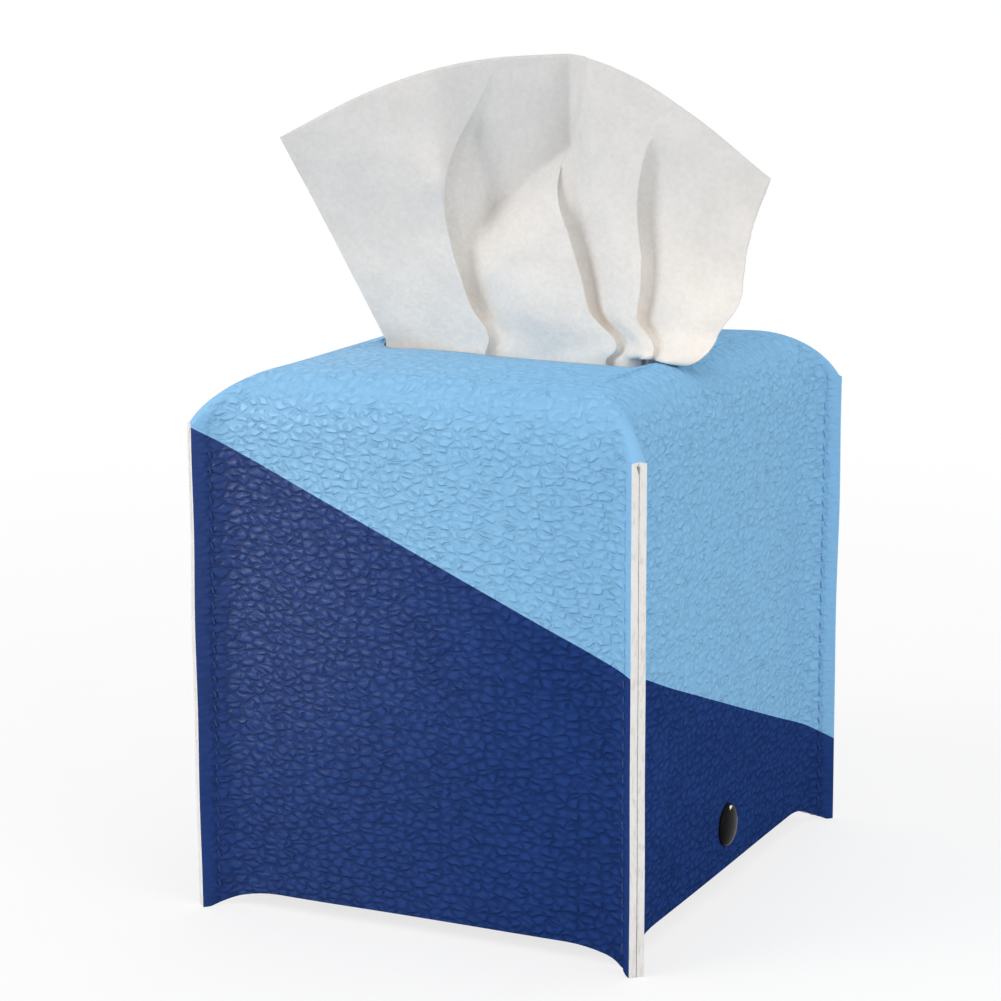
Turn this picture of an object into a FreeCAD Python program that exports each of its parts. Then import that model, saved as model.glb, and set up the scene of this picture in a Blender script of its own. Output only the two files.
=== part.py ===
"""A soft leather cover for an upright tissue carton, with its snap strap and a tissue in the slot.

Frame: the origin is on the table under the middle of the cover, +X points to the right wall,
+Y to the back wall and +Z up. All sizes are in millimetres.
"""
import FreeCAD
import Part
import Sketcher
import math
import os

SIZES = {
    # the cover
    "wall_width": 123.0,        # outside of the left wall to outside of the right wall
    "wall_depth": 142.0,        # outside of the front wall to outside of the back wall
    "cover_height": 152.0,      # table to the top of the cover
    "leather": 2.0,             # thickness of the material
    "top_roll": 16.0,           # outer radius of the rolled top edges
    "fin_length": 6.8,          # corner of the walls to the raw edges of a standing seam
    "fin_root": 8.0,            # radius of the valley between a wall and a seam
    "seam_gap": 0.2,            # between the two layers of a seam
    "seam_below_top": 15.0,     # top of the cover down to the upper end of a seam
    "dart_radius": 30.0,        # arc of the ridge that fades from a seam into the top
    "dart_round": 1.6,          # rounding of that ridge
    "dart_sink": 0.3,           # depth of the ridge's far end under the surface
    "arch_rise": 5.5,           # how far the middle of a wall clears the table
    "arch_run": 20.0,           # length of the curve at each end of an arch
    "foot": 3.0,                # flat stretch of a seam's lower end, along X and along Y
    "slot_length": 90.0,
    "slot_width": 26.0,
    # the stitches
    "stitch_pitch": 4.2,
    "stitch_length": 3.1,
    "thread": 0.7,
    "stitch_in": 0.5,           # end of the valley to the stitches, along the seam's face
    "stitch_margin": 5.0,       # end of a seam to its nearest stitch
    # the snaps
    "snap_height": 19.0,        # table to the middle of a snap
    "cap_radius": 6.2,
    "cap_height": 2.4,
    "cap_rim": 0.6,
    "post_radius": 2.1,         # the cap's post, through the wall and the socket's floor
    "clinch_radius": 3.0,       # the post's rolled end
    "clinch": 0.4,
    "socket_radius": 5.6,
    "socket_depth": 3.4,
    "socket_floor": 0.6,
    "socket_lip": 0.6,
    "chamber_radius": 4.3,
    "mouth_radius": 2.9,
    "spring_radius": 2.75,      # middle of the spring's wire
    "spring_wire": 0.55,
    "spring_turn": 300.0,       # degrees of the split ring
    "snap_gap": 0.3,            # between the socket and the base of the stud
    "stud_radius": 5.0,
    "stud_base": 0.7,
    "nub_radius": 1.9,
    "nub_reach": 1.7,           # how far the stud's nub stands inside the socket
    "nub_wall": 0.5,
    "barrel_radius": 1.0,       # the rivet that holds the stud
    "barrel_head_radius": 4.5,
    "barrel_head": 0.8,
    "snap_fit": 0.1,            # radial clearance of posts in their holes
    # the strap
    "strap_width": 22.0,
    "strap": 1.6,               # thickness of the strap
    "strap_height": 6.0,        # table to the underside of the strap
    "fold_radius": 2.0,         # inside radius of the strap's folds
    "fold_gap": 0.2,            # parting at each fold
    # the tissue
    "tissue": 0.9,              # thickness of the soft double layer
    "tissue_end_gap": 1.5,      # round end of the slot to the edge of the tissue
    "tissue_lip_gap": 0.3,      # front lip of the slot to the nearest fold
    "tissue_tail": 14.0,        # top of the cover to the tissue's lower end
    "tissue_rise": 82.0,        # top of the cover to the middle of the tissue's upper edge
    "tissue_left_rise": 59.0,   # top of the cover to the left tip
    "tissue_right_rise": 49.0,  # top of the cover to the right tip
    "tissue_spread": 132.0,     # tip to tip across the cover
    "tissue_turn": 20.0,        # how far each tip stands off the middle of the fan, front or back
    "tissue_lean": 5.0,         # how far the middle of the upper edge stands in front of the slot's middle
    "tissue_fold": 10.0,        # depth of the deepest fold
    "tissue_fold_width": 3.5,   # edge of a fold to the bottom of its groove
}

X_AXIS = FreeCAD.Vector(1, 0, 0)
Y_AXIS = FreeCAD.Vector(0, 1, 0)
Z_AXIS = FreeCAD.Vector(0, 0, 1)

doc = FreeCAD.newDocument("tissue_box_cover")
sheet = doc.addObject("Spreadsheet::Sheet", "Sizes")
for row, (alias, number) in enumerate(SIZES.items(), 1):
    sheet.set(f"A{row}", str(number))
    sheet.setAlias(f"A{row}", alias)
doc.recompute()


class Length:
    """A size with the sheet expression that gives it."""

    def __init__(self, value, text):
        self.value = value
        self.text = text

    def __add__(self, other):
        other = as_length(other)
        return Length(self.value + other.value, f"({self.text} + {other.text})")

    def __sub__(self, other):
        other = as_length(other)
        return Length(self.value - other.value, f"({self.text} - {other.text})")

    def __mul__(self, other):
        other = as_length(other)
        return Length(self.value * other.value, f"({self.text} * {other.text})")

    def __truediv__(self, other):
        other = as_length(other)
        return Length(self.value / other.value, f"({self.text} / {other.text})")

    def __neg__(self):
        return as_length(0) - self


def as_length(item):
    """A plain number as a length, and a length as it is."""
    if isinstance(item, Length):
        return item
    return Length(float(item), f"{float(item):.9f}")


def size(alias):
    """The length in the sheet's cell of that name."""
    return Length(float(sheet.get(alias)), f"Sizes.{alias}")


def bind(item, **properties):
    """Tie properties of an object to the sheet."""
    for name, length in properties.items():
        item.setExpression(name, as_length(length).text)


def place(item, x=0, y=0, z=0, rotation=FreeCAD.Rotation()):
    """Put an object at a point that the sheet gives, turned by a rotation."""
    item.Placement = FreeCAD.Placement(FreeCAD.Vector(), rotation)
    for axis, length in zip("xyz", (x, y, z)):
        item.setExpression(f"Placement.Base.{axis}", as_length(length).text)


def new_body(name):
    return doc.addObject("PartDesign::Body", name)


def arc_edge(start, end, radius, side):
    """Arc of under half a circle, with its centre on the left (1) or the right (-1) of the way to its end."""
    chord = end - start
    left = FreeCAD.Vector(-chord.y, chord.x, 0).normalize()
    rise = math.sqrt(radius ** 2 - (chord.Length / 2) ** 2)
    centre = (start + end) / 2 + left * (rise * side)
    first, last = (start, end) if side > 0 else (end, start)
    angles = [math.atan2(point.y - centre.y, point.x - centre.x) for point in (first, last)]
    circle = Part.Circle(centre, Z_AXIS, radius)
    return Part.ArcOfCircle(circle, *angles)


def outline(body, name, role, corners):
    """Closed sketch on an origin plane of the body. A corner is (x, y), and the edge that leaves it is
    straight, or it is (x, y, radius, side), and that edge is an arc. All of them are tied to the sheet."""
    sketch = body.newObject("Sketcher::SketchObject", name)
    plane = next(item for item in body.Origin.OriginFeatures if item.Role == role)
    sketch.AttachmentSupport = [(plane, "")]
    sketch.MapMode = "FlatFace"
    corners = [tuple(as_length(item) for item in corner[:3]) + tuple(corner[3:]) for corner in corners]
    points = [FreeCAD.Vector(corner[0].value, corner[1].value, 0) for corner in corners]
    vertices = []
    for index, corner in enumerate(corners):
        start, end = points[index], points[(index + 1) % len(points)]
        if len(corner) > 2:
            sketch.addGeometry(arc_edge(start, end, corner[2].value, corner[3]))
            vertices.append((1, 2) if corner[3] > 0 else (2, 1))
        else:
            sketch.addGeometry(Part.LineSegment(start, end))
            vertices.append((1, 2))
    for index, corner in enumerate(corners):
        start = vertices[index][0]
        before = index - 1 if index else len(corners) - 1
        sketch.addConstraint(Sketcher.Constraint("Coincident", before, vertices[before][1], index, start))
        rules = [("DistanceX", start, corner[0]), ("DistanceY", start, corner[1])]
        for kind, vertex, length in rules:
            rule = sketch.addConstraint(Sketcher.Constraint(kind, index, vertex, length.value))
            sketch.setExpression(f"Constraints[{rule}]", length.text)
        if len(corner) > 2:
            rule = sketch.addConstraint(Sketcher.Constraint("Radius", index, corner[2].value))
            sketch.setExpression(f"Constraints[{rule}]", corner[2].text)
    return sketch


def rectangle(x, y):
    """Corners of a rectangle about the origin, from its half sides."""
    return [(-x, -y), (x, -y), (x, y), (-x, y)]


def pad(body, sketch, length, side_type="One side"):
    feature = body.newObject("PartDesign::Pad", f"{sketch.Name}_pad")
    feature.Profile = sketch
    feature.SideType = side_type
    bind(feature, Length=length)
    doc.recompute()
    return feature


def round_edges(body, feature, wanted, radius):
    """Fillet those edges of a feature that the test picks."""
    names = [f"Edge{number}" for number, edge in enumerate(feature.Shape.Edges, 1) if wanted(edge)]
    fillet = body.newObject("PartDesign::Fillet", f"{feature.Name}_round")
    fillet.Base = (feature, names)
    bind(fillet, Radius=radius)
    doc.recompute()


def revolve(body, corners):
    """Turned piece about the body's own Z axis, from the half profile in its XZ plane."""
    sketch = outline(body, f"{body.Name}_profile", "XZ_Plane", corners)
    feature = body.newObject("PartDesign::Revolution", f"{body.Name}_turned")
    feature.Profile = sketch
    feature.ReferenceAxis = (sketch, ["V_Axis"])
    feature.Angle = 360
    doc.recompute()


def box(name, x, y, z):
    """Block between two coordinates along each axis."""
    block = doc.addObject("Part::Box", name)
    bind(block, Length=as_length(x[1]) - x[0], Width=as_length(y[1]) - y[0], Height=as_length(z[1]) - z[0])
    place(block, x[0], y[0], z[0])
    return block


ALONG_X = FreeCAD.Rotation(Y_AXIS, 90)
AGAINST_X = FreeCAD.Rotation(Y_AXIS, -90)
UPPER_HALF = ALONG_X.multiply(FreeCAD.Rotation(Z_AXIS, 90))


def cylinder(name, radius, height, x=0, y=0, z=0, rotation=FreeCAD.Rotation(), angle=360):
    rod = doc.addObject("Part::Cylinder", name)
    rod.Angle = angle
    bind(rod, Radius=radius, Height=height)
    place(rod, x, y, z, rotation)
    return rod


def fuse(name, shapes):
    joined = doc.addObject("Part::MultiFuse", name)
    joined.Shapes = shapes
    doc.recompute()
    return joined


def cut(name, base, tool):
    result = doc.addObject("Part::Cut", name)
    result.Base = base
    result.Tool = tool
    doc.recompute()
    return result


def at_four_corners(piece):
    """The front right piece and its mirror images at the other three corners."""
    pieces = [piece]
    for name, normal in (("left", X_AXIS), ("back", Y_AXIS)):
        for source in list(pieces):
            image = doc.addObject("Part::Mirroring", f"{source.Name}_{name}")
            image.Source = source
            image.Normal = normal
            pieces.append(image)
    doc.recompute()
    return pieces


leather = size("leather")
half_width = size("wall_width") / 2
half_depth = size("wall_depth") / 2
cover_height = size("cover_height")
fin_length = size("fin_length")
fin_root = size("fin_root")
seam_gap = size("seam_gap")
fin_top = cover_height - size("seam_below_top")
fin_half = leather + seam_gap / 2
valley_end = fin_root * math.tan(math.pi / 8) - fin_half
DIAGONAL = math.sqrt(0.5)
MITRE_TURN = math.radians(70)


def rolled_block(name, x, y, height, roll):
    """Upright block whose four top edges are rolled and whose upright edges are sharp."""
    body = new_body(name)
    block = pad(body, outline(body, f"{name}_plan", "XY_Plane", rectangle(x, y)), height)
    top = block.Shape.BoundBox.ZMax
    round_edges(body, block, lambda edge: edge.BoundBox.ZMin > top - 0.01, roll)
    return body


def seam_outline(body, name, reach, half_gap, radius):
    """Plan of a corner: two faces that run out along the diagonal, each turning into its wall on an arc.
    The sketch's X axis runs outwards along the diagonal of the front right corner, from the walls' corner."""
    centre = fin_half + fin_root
    wall_x = valley_end - radius * DIAGONAL
    wall_y = centre - radius * DIAGONAL
    corners = [
        (reach, -half_gap),
        (reach, half_gap),
        (valley_end, half_gap, radius, -1),
        (wall_x, wall_y),
        (wall_x, -wall_y, radius, -1),
        (valley_end, -half_gap),
    ]
    sketch = outline(body, name, "XY_Plane", corners)
    sketch.AttachmentOffset = FreeCAD.Placement(FreeCAD.Vector(), FreeCAD.Rotation(Z_AXIS, -45))
    bind(sketch, **{"AttachmentOffset.Base.x": half_width, "AttachmentOffset.Base.y": -half_depth})
    return sketch


def seam_fin():
    """Both layers of the standing seam at the front right corner, before they are parted."""
    body = new_body("seam_fin")
    pad(body, seam_outline(body, "fin_plan", fin_length, fin_half, fin_root), fin_top)
    return body


def seam_parting():
    """Room between the two layers of that seam, and behind its valleys."""
    body = new_body("seam_parting")
    sketch = seam_outline(body, "parting_plan", fin_length * 2, seam_gap / 2, fin_root + leather)
    pad(body, sketch, fin_top)
    return body


def dart_ridge():
    """Ridge from the upper end of the front right seam, which fades along the mitre of the rolled edges.
    It ends part of the way round the roll, a little under the surface."""
    body = new_body("dart_ridge")
    roll = size("top_roll")
    inward = roll * ((1 - math.cos(MITRE_TURN)) / DIAGONAL)
    end = cover_height - roll * (1 - math.sin(MITRE_TURN)) - size("dart_sink") - fin_top
    corners = [
        (fin_length, 0, size("dart_radius"), 1),
        (-inward, end),
        (-inward, -leather),
        (fin_length, -leather),
    ]
    sketch = outline(body, "dart_side", "XZ_Plane", corners)
    sketch.AttachmentOffset = FreeCAD.Placement(FreeCAD.Vector(), FreeCAD.Rotation(Y_AXIS, -45))
    where = {"x": half_width, "y": fin_top, "z": half_depth}
    bind(sketch, **{f"AttachmentOffset.Base.{axis}": length for axis, length in where.items()})
    ridge = pad(body, sketch, fin_half * 2, "Symmetric")
    round_edges(body, ridge, lambda edge: isinstance(edge.Curve, Part.Circle), size("dart_round"))
    return body


def arch_cutter(name, role, half_side, length):
    """Room under a pair of facing walls: level in the middle and curved down to the feet at the corners."""
    rise = size("arch_rise")
    run = size("arch_run")
    foot_end = half_side + fin_length * DIAGONAL - size("foot")
    level_end = foot_end - run
    radius = (run * run + rise * rise) / (rise * 2)
    corners = [
        (-foot_end, 0, radius, -1),
        (-level_end, rise),
        (level_end, rise, radius, -1),
        (foot_end, 0),
        (foot_end, -rise),
        (-foot_end, -rise),
    ]
    body = new_body(name)
    pad(body, outline(body, f"{name}_side", role, corners), length, "Symmetric")
    return body


def slot_cutter():
    """Round-ended slot through the top."""
    radius = size("slot_width") / 2
    reach = size("slot_length") / 2 - radius
    low = cover_height - leather * 2
    pieces = [box("slot_middle", (-reach, reach), (-radius, radius), (low, cover_height + leather))]
    for name, x in (("slot_end_left", -reach), ("slot_end_right", reach)):
        pieces.append(cylinder(name, radius, leather * 3, x, 0, low))
    return fuse("slot_room", pieces)


def leather_cover():
    """The folded and sewn blank: rolled top, parted corner seams, slot, arched lower edges and snap holes."""
    outside = rolled_block("outside", half_width, half_depth, cover_height, size("top_roll"))
    inside = rolled_block("inside", half_width - leather, half_depth - leather, cover_height - leather,
                          size("top_roll") - leather)
    skin = fuse("skin", [outside] + at_four_corners(seam_fin()) + at_four_corners(dart_ridge()))
    hollow = fuse("hollow", [inside] + at_four_corners(seam_parting()))
    past_walls = fin_length * 4
    hole = size("post_radius") + size("snap_fit")
    trims = [
        slot_cutter(),
        arch_cutter("arch_front", "XZ_Plane", half_width, half_depth * 2 + past_walls),
        arch_cutter("arch_side", "YZ_Plane", half_depth, half_width * 2 + past_walls),
    ]
    for name, x in (("hole_left", -half_width - leather), ("hole_right", half_width - leather * 2)):
        trims.append(cylinder(name, hole, leather * 3, x, 0, size("snap_height"), ALONG_X))
    return [cut("leather_cover", cut("sewn_shell", skin, hollow), fuse("trims", trims))]


def seam_stitches():
    """Four rows of stitches, each bar half sunk into a face of its seam."""
    pitch = size("stitch_pitch").value
    length = size("stitch_length").value
    margin = size("stitch_margin").value
    radius = size("thread").value / 2
    count = int((fin_top.value - 2 * margin - length) // pitch) + 1
    rows = []
    for name, x, y in (("front_left", -1, -1), ("front_right", 1, -1),
                       ("back_left", -1, 1), ("back_right", 1, 1)):
        corner = FreeCAD.Vector(x * half_width.value, y * half_depth.value, margin)
        outward = FreeCAD.Vector(x, y, 0) * DIAGONAL
        across = FreeCAD.Vector(-y, x, 0) * DIAGONAL
        foot = corner + outward * (valley_end + size("stitch_in")).value
        bars = []
        for face in (-fin_half.value, fin_half.value):
            for index in range(count):
                base = foot + across * face + FreeCAD.Vector(0, 0, index * pitch)
                bars.append(Part.makeCylinder(radius, length, base))
        row = doc.addObject("Part::Feature", f"stitches_{name}")
        row.Shape = Part.makeCompound(bars)
        rows.append(row)
    return rows


def depth(length):
    """Coordinate along a snap's axis, from the outside of the wall, of a point that far inside the wall."""
    return -leather - length


post_radius = size("post_radius")
socket_depth = size("socket_depth")
socket_floor = size("socket_floor")
stud_bore = size("barrel_radius") + size("snap_fit")
stud_seat = depth(socket_depth + size("snap_gap") + size("stud_base"))
nub_tip = depth(socket_depth - size("nub_reach"))
bore_end = nub_tip - size("nub_wall")
strap = size("strap")
strap_face = half_width + stud_seat
fold_top = size("strap_height") + strap + size("fold_radius")


def snap_profiles():
    """Half profiles of a snap's turned pieces, as radius and distance outwards from the wall's outer face."""
    cap_radius = size("cap_radius")
    dome = size("cap_height") - size("cap_rim")
    dome_radius = (cap_radius * cap_radius + dome * dome) / (dome * 2)
    clinch_radius = size("clinch_radius")
    clinch_end = depth(socket_floor + size("clinch"))
    floor_hole = post_radius + size("snap_fit")
    socket_radius = size("socket_radius")
    chamber_radius = size("chamber_radius")
    mouth_radius = size("mouth_radius")
    lip = depth(socket_depth - size("socket_lip"))
    stud_radius = size("stud_radius")
    nub_radius = size("nub_radius")
    base_face = stud_seat + size("stud_base")
    barrel_radius = size("barrel_radius")
    head_radius = size("barrel_head_radius")
    tab_back = stud_seat - strap
    return {
        "snap_cap": [
            (0, size("cap_height"), dome_radius, -1),
            (cap_radius, size("cap_rim")),
            (cap_radius, 0),
            (post_radius, 0),
            (post_radius, depth(socket_floor)),
            (clinch_radius, depth(socket_floor)),
            (clinch_radius, clinch_end),
            (0, clinch_end),
        ],
        "snap_socket": [
            (floor_hole, -leather),
            (socket_radius, -leather),
            (socket_radius, depth(socket_depth)),
            (mouth_radius, depth(socket_depth)),
            (mouth_radius, lip),
            (chamber_radius, lip),
            (chamber_radius, depth(socket_floor)),
            (floor_hole, depth(socket_floor)),
        ],
        "snap_stud": [
            (stud_bore, stud_seat),
            (stud_radius, stud_seat),
            (stud_radius, base_face),
            (nub_radius, base_face),
            (nub_radius, nub_tip),
            (0, nub_tip),
            (0, bore_end),
            (stud_bore, bore_end),
        ],
        "stud_post": [
            (0, bore_end - size("snap_fit")),
            (barrel_radius, bore_end - size("snap_fit")),
            (barrel_radius, tab_back),
            (head_radius, tab_back),
            (head_radius, tab_back - size("barrel_head")),
            (0, tab_back - size("barrel_head")),
        ],
    }


def snaps():
    """A snap in each side wall: the cap and socket on the wall, the stud and its post on the strap's end."""
    pieces = []
    for side, sign, rotation in (("left", -1, AGAINST_X), ("right", 1, ALONG_X)):
        for name, corners in snap_profiles().items():
            body = new_body(f"{name}_{side}")
            revolve(body, corners)
            place(body, half_width * sign, 0, size("snap_height"), rotation)
            pieces.append(body)
        spring = doc.addObject("Part::Torus", f"socket_spring_{side}")
        wire = size("spring_wire")
        bind(spring, Radius1=size("spring_radius"), Radius2=wire / 2, Angle3=size("spring_turn"))
        behind_lip = depth(socket_depth - size("socket_lip") - size("snap_fit") - wire / 2)
        place(spring, (half_width + behind_lip) * sign, 0, size("snap_height"), rotation)
        pieces.append(spring)
    return pieces


def strap_run():
    """The strap across the open bottom, with the fold at each end."""
    fold = size("fold_radius")
    outer = fold + strap
    low = size("strap_height")
    end = strap_face - outer
    corners = [
        (strap_face - strap, fold_top),
        (strap_face, fold_top, outer, -1),
        (end, low),
        (-end, low, outer, -1),
        (-strap_face, fold_top),
        (strap - strap_face, fold_top, fold, 1),
        (-end, low + strap),
        (end, low + strap, fold, 1),
    ]
    body = new_body("strap_run")
    pad(body, outline(body, "strap_side", "XZ_Plane", corners), size("strap_width"), "Symmetric")
    return [body]


def strap_tabs():
    """The strap's round ends, which stand inside the side walls and carry the studs."""
    half = size("strap_width") / 2
    middle = size("snap_height")
    tabs = []
    for side, low_x in (("left", -strap_face), ("right", strap_face - strap)):
        straight = box(f"tab_straight_{side}", (low_x, low_x + strap), (-half, half),
                       (fold_top + size("fold_gap"), middle))
        end = cylinder(f"tab_end_{side}", half, strap, low_x, 0, middle, UPPER_HALF, 180)
        hole = cylinder(f"tab_hole_{side}", stud_bore, strap * 3, low_x - strap, 0, middle, ALONG_X)
        tabs.append(cut(f"strap_tab_{side}", fuse(f"tab_blank_{side}", [straight, end]), hole))
    return tabs


# Heights on the tissue, as shares of the way from the slot to the upper edge.
LEVELS = (0, 0.07, 0.27, 0.42, 0.55, 0.72, 1)
# Where the right edge is at these heights, as shares of the way from the slot's end to the right tip.
RIGHT_EDGE = (0, 0.55, 0.85, 0.87, 0.87, 0.89, 1)
# Where the tissue stands in the slot, from its left to its right edge, as shares of the way to the front lip.
NECK_LINE = ((0, 0.53), (0.2, 0.9), (0.41, 1), (0.62, 0.88), (0.85, 1), (0.96, 0.83), (1, 0.57))
# Each fold at these heights: its edge across the tissue, how far the edge stands in front of the plain fan and
# how far the paper drops back behind it, both in shares of the deepest fold.
FOLDS = (
    ((0.415, 0.37, 0.30, 0.29, 0.30, 0.34, 0.43), (0, 0, 0.05, 0.05, 0.15, 0.10, 0),
     (0.30, 0.55, 0.85, 1.10, 1.15, 0.90, 0.10)),
    ((0.85, 0.75, 0.622, 0.586, 0.566, 0.588, 0.605), (0, 0.05, 0.15, 0.20, -0.15, -1.0, -0.5),
     (0.22, 0.50, 0.90, 0.85, 0.30, -1.0, -0.5)),
    ((0.955, 0.88, 0.776, 0.765, 0.758, 0.765, 0.79), (0, 0, 0, 0, 0, 0, 0),
     (0.17, 0.40, 0.58, 0.56, 0.50, 0.30, 0)),
)
# How far the paper stands in front of the plain fan between the folds, at one or two places in each panel.
PANELS = (
    ((0, -0.05, -0.20, -0.22, -0.20, -0.10, 0),),
    ((-0.05, 0, 0.25, -0.30, -1.05, -0.80, -0.30), (0, 0.10, 0.40, 0.28, -0.70, -0.95, -0.35)),
    ((0, 0, -0.05, -0.05, -0.05, 0, 0),),
    ((0, -0.05, -0.25, -0.35, -0.30, -0.15, 0),),
)


def between(places, share):
    """Value on straight lines through (place, value) points."""
    for (low, first), (high, last) in zip(places[:-1], places[1:]):
        if share <= high:
            return first + (last - first) * (share - low) / (high - low)
    return places[-1][1]


def fold_places(level, width):
    """Places across the tissue and depths in front of the plain fan at one height, from left to right."""
    groove = size("tissue_fold_width").value / width
    places = [(0, 0)]
    for panel, fold in zip(PANELS, FOLDS + (None,)):
        edge = fold[0][level] if fold else 1
        step = min(groove, (1 - edge) / 3)
        run = edge - step - places[-1][0]
        for index, depths in enumerate(panel, 1):
            places.append((places[-index][0] + run * index / (len(panel) + 1), depths[level]))
        if fold:
            crest, drop = fold[1][level], fold[2][level]
            places += [(edge - step, crest), (edge, crest), (edge + step, crest - drop)]
    return places + [(1, 0)]


def tissue_arch():
    """Circle of the upper edge, seen from the front: through both tips and the middle."""
    top = cover_height.value
    tip = size("tissue_spread").value / 2
    return Part.Circle(FreeCAD.Vector(-tip, 0, top + size("tissue_left_rise").value),
                       FreeCAD.Vector(0, 0, top + size("tissue_rise").value),
                       FreeCAD.Vector(tip, 0, top + size("tissue_right_rise").value))


def tissue_row(level):
    """Poles of the line across the tissue at one height."""
    top = cover_height.value
    radius = size("slot_width").value / 2
    lip = radius - size("tissue").value / 2 - size("tissue_lip_gap").value
    end_depth = lip * NECK_LINE[-1][1] + size("tissue").value / 2
    neck = size("slot_length").value / 2 - radius + math.sqrt(radius ** 2 - end_depth ** 2)
    neck -= size("tissue_end_gap").value
    tip = size("tissue_spread").value / 2
    turn = size("tissue_turn").value
    arch = tissue_arch()
    rise = LEVELS[level]
    left = -neck - (tip - neck) * rise
    width = neck + (tip - neck) * RIGHT_EDGE[level] - left
    front = FreeCAD.Vector(turn, -tip, 0).normalize()
    row = []
    for share, depth in fold_places(level, width):
        fan_x = tip * (2 * share - 1)
        fan_y = turn * (2 * share - 1) - size("tissue_lean").value
        neck_y = -lip * between(NECK_LINE, share)
        fan_z = arch.Center.z + math.sqrt(arch.Radius ** 2 - (fan_x - arch.Center.x) ** 2)
        y = neck_y + (fan_y - neck_y) * rise
        z = top + (fan_z - top) * rise
        plain = FreeCAD.Vector(left + width * share, y, z)
        row.append(plain + front * (depth * size("tissue_fold").value))
    return row


def tissue_sides(row):
    """Smooth curves along the front and the back of the tissue at one height."""
    half = size("tissue").value / 2
    curves = []
    for sign in (-1, 1):
        poles = []
        for index, pole in enumerate(row):
            along = row[min(index + 1, len(row) - 1)] - row[max(index - 1, 0)]
            across = FreeCAD.Vector(-along.y, along.x, 0).normalize()
            poles.append(pole + across * (half * sign))
        curve = Part.BSplineCurve()
        curve.buildFromPoles(poles, False, 2)
        curves.append(curve)
    return curves


def tissue():
    """The tissue in the slot: gathered at the neck, with three folds, a hollow and an arched upper edge."""
    rows = [tissue_row(level) for level in range(len(LEVELS))]
    rows.insert(0, [pole - Z_AXIS * size("tissue_tail").value for pole in rows[0]])
    curves = [tissue_sides(row) for row in rows]
    wires = []
    for front, back in curves:
        right_edge = Part.makeLine(front.EndPoint, back.EndPoint)
        left_edge = Part.makeLine(back.StartPoint, front.StartPoint)
        wires.append(Part.Wire([front.toShape(), right_edge, back.toShape(), left_edge]))
    faces = Part.makeLoft(wires, False, True).Faces
    for front, back in (curves[0], curves[-1]):
        faces.append(Part.makeRuledSurface(front.toShape(), back.toShape()))
    shell = Part.Shell(faces)
    shell.sewShape()
    sheet_piece = doc.addObject("Part::Feature", "tissue")
    sheet_piece.Shape = Part.makeSolid(shell)
    return [sheet_piece]


nodes = leather_cover() + seam_stitches() + snaps() + strap_run() + strap_tabs() + tissue()
doc.recompute()

for item in doc.Objects:
    if "Invalid" in item.State or "Error" in item.State:
        raise RuntimeError(f"{item.Label} did not build: {item.State}")
for node in nodes:
    if node.Shape.isNull() or not node.Shape.isValid():
        raise RuntimeError(f"{node.Label} has no valid shape")

os.makedirs("parts", exist_ok=True)
for node in nodes:
    node.Shape.exportStep(f"parts/{node.Label}.step")
    print(node.Label, len(node.Shape.Solids), "solids", round(node.Shape.Volume, 2), "mm3")
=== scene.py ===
# %% [markdown]
# # A leather cover for a box of tissues
# The construction comes measured: walls, seams, snaps and strap each have their real place in a fixed
# frame. This lesson dresses them. The soft pieces are surfaces worked out with numpy, so every shape is a
# formula with a few named sizes, in metres, and a learner can change one and run the cell again.

import bmesh
import bpy
import numpy as np
from mathutils import Matrix, Vector


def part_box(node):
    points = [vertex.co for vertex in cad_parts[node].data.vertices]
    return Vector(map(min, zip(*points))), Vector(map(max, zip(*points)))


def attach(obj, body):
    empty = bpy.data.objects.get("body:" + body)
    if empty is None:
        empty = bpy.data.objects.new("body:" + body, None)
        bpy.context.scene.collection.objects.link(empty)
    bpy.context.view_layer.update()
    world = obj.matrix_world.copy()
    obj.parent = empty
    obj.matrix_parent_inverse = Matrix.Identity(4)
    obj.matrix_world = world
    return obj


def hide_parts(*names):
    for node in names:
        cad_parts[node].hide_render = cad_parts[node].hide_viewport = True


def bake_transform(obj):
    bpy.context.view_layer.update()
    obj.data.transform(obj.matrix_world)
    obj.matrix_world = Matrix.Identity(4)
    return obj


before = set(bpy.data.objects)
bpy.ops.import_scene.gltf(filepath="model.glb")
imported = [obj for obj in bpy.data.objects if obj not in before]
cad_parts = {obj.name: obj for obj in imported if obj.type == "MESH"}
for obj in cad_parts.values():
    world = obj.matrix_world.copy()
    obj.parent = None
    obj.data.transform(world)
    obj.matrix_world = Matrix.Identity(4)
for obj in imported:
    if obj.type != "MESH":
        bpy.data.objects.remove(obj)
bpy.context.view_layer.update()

cover_low, cover_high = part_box("leather_cover")
print("cover measures", [round(side, 4) for side in cover_high - cover_low])

# %% [markdown]
# ## The camera
# A product picture is taken with a long lens from a little above. The place and the turn were found by
# fitting the six ends of seams that are in view, so a piece that is right in the frame is right in the
# picture. Building the camera's matrix from its own right, up and back directions keeps the small roll
# that angles would hide.

# %% Camera
IMAGE_WIDTH = 1001
FOCAL_PIXELS = 2893.5
SENSOR_MM = 36.0
NEAREST = 0.01
CAMERA_PLACE = Vector((0.3455, -0.7355, 0.2739))
AZIMUTH, ELEVATION, ROLL = np.radians([25.745, 11.573, -0.195])


def camera_turn():
    """Right, up and back directions of a camera at an azimuth from the front, an elevation and a roll."""
    level = np.cos(ELEVATION)
    back = Vector((np.sin(AZIMUTH) * level, -np.cos(AZIMUTH) * level, np.sin(ELEVATION)))
    right = Vector((np.cos(AZIMUTH), np.sin(AZIMUTH), 0))
    up = back.cross(right)
    rolled = right * np.cos(ROLL) + up * np.sin(ROLL)
    return Matrix((rolled, back.cross(rolled), back)).transposed()


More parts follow.
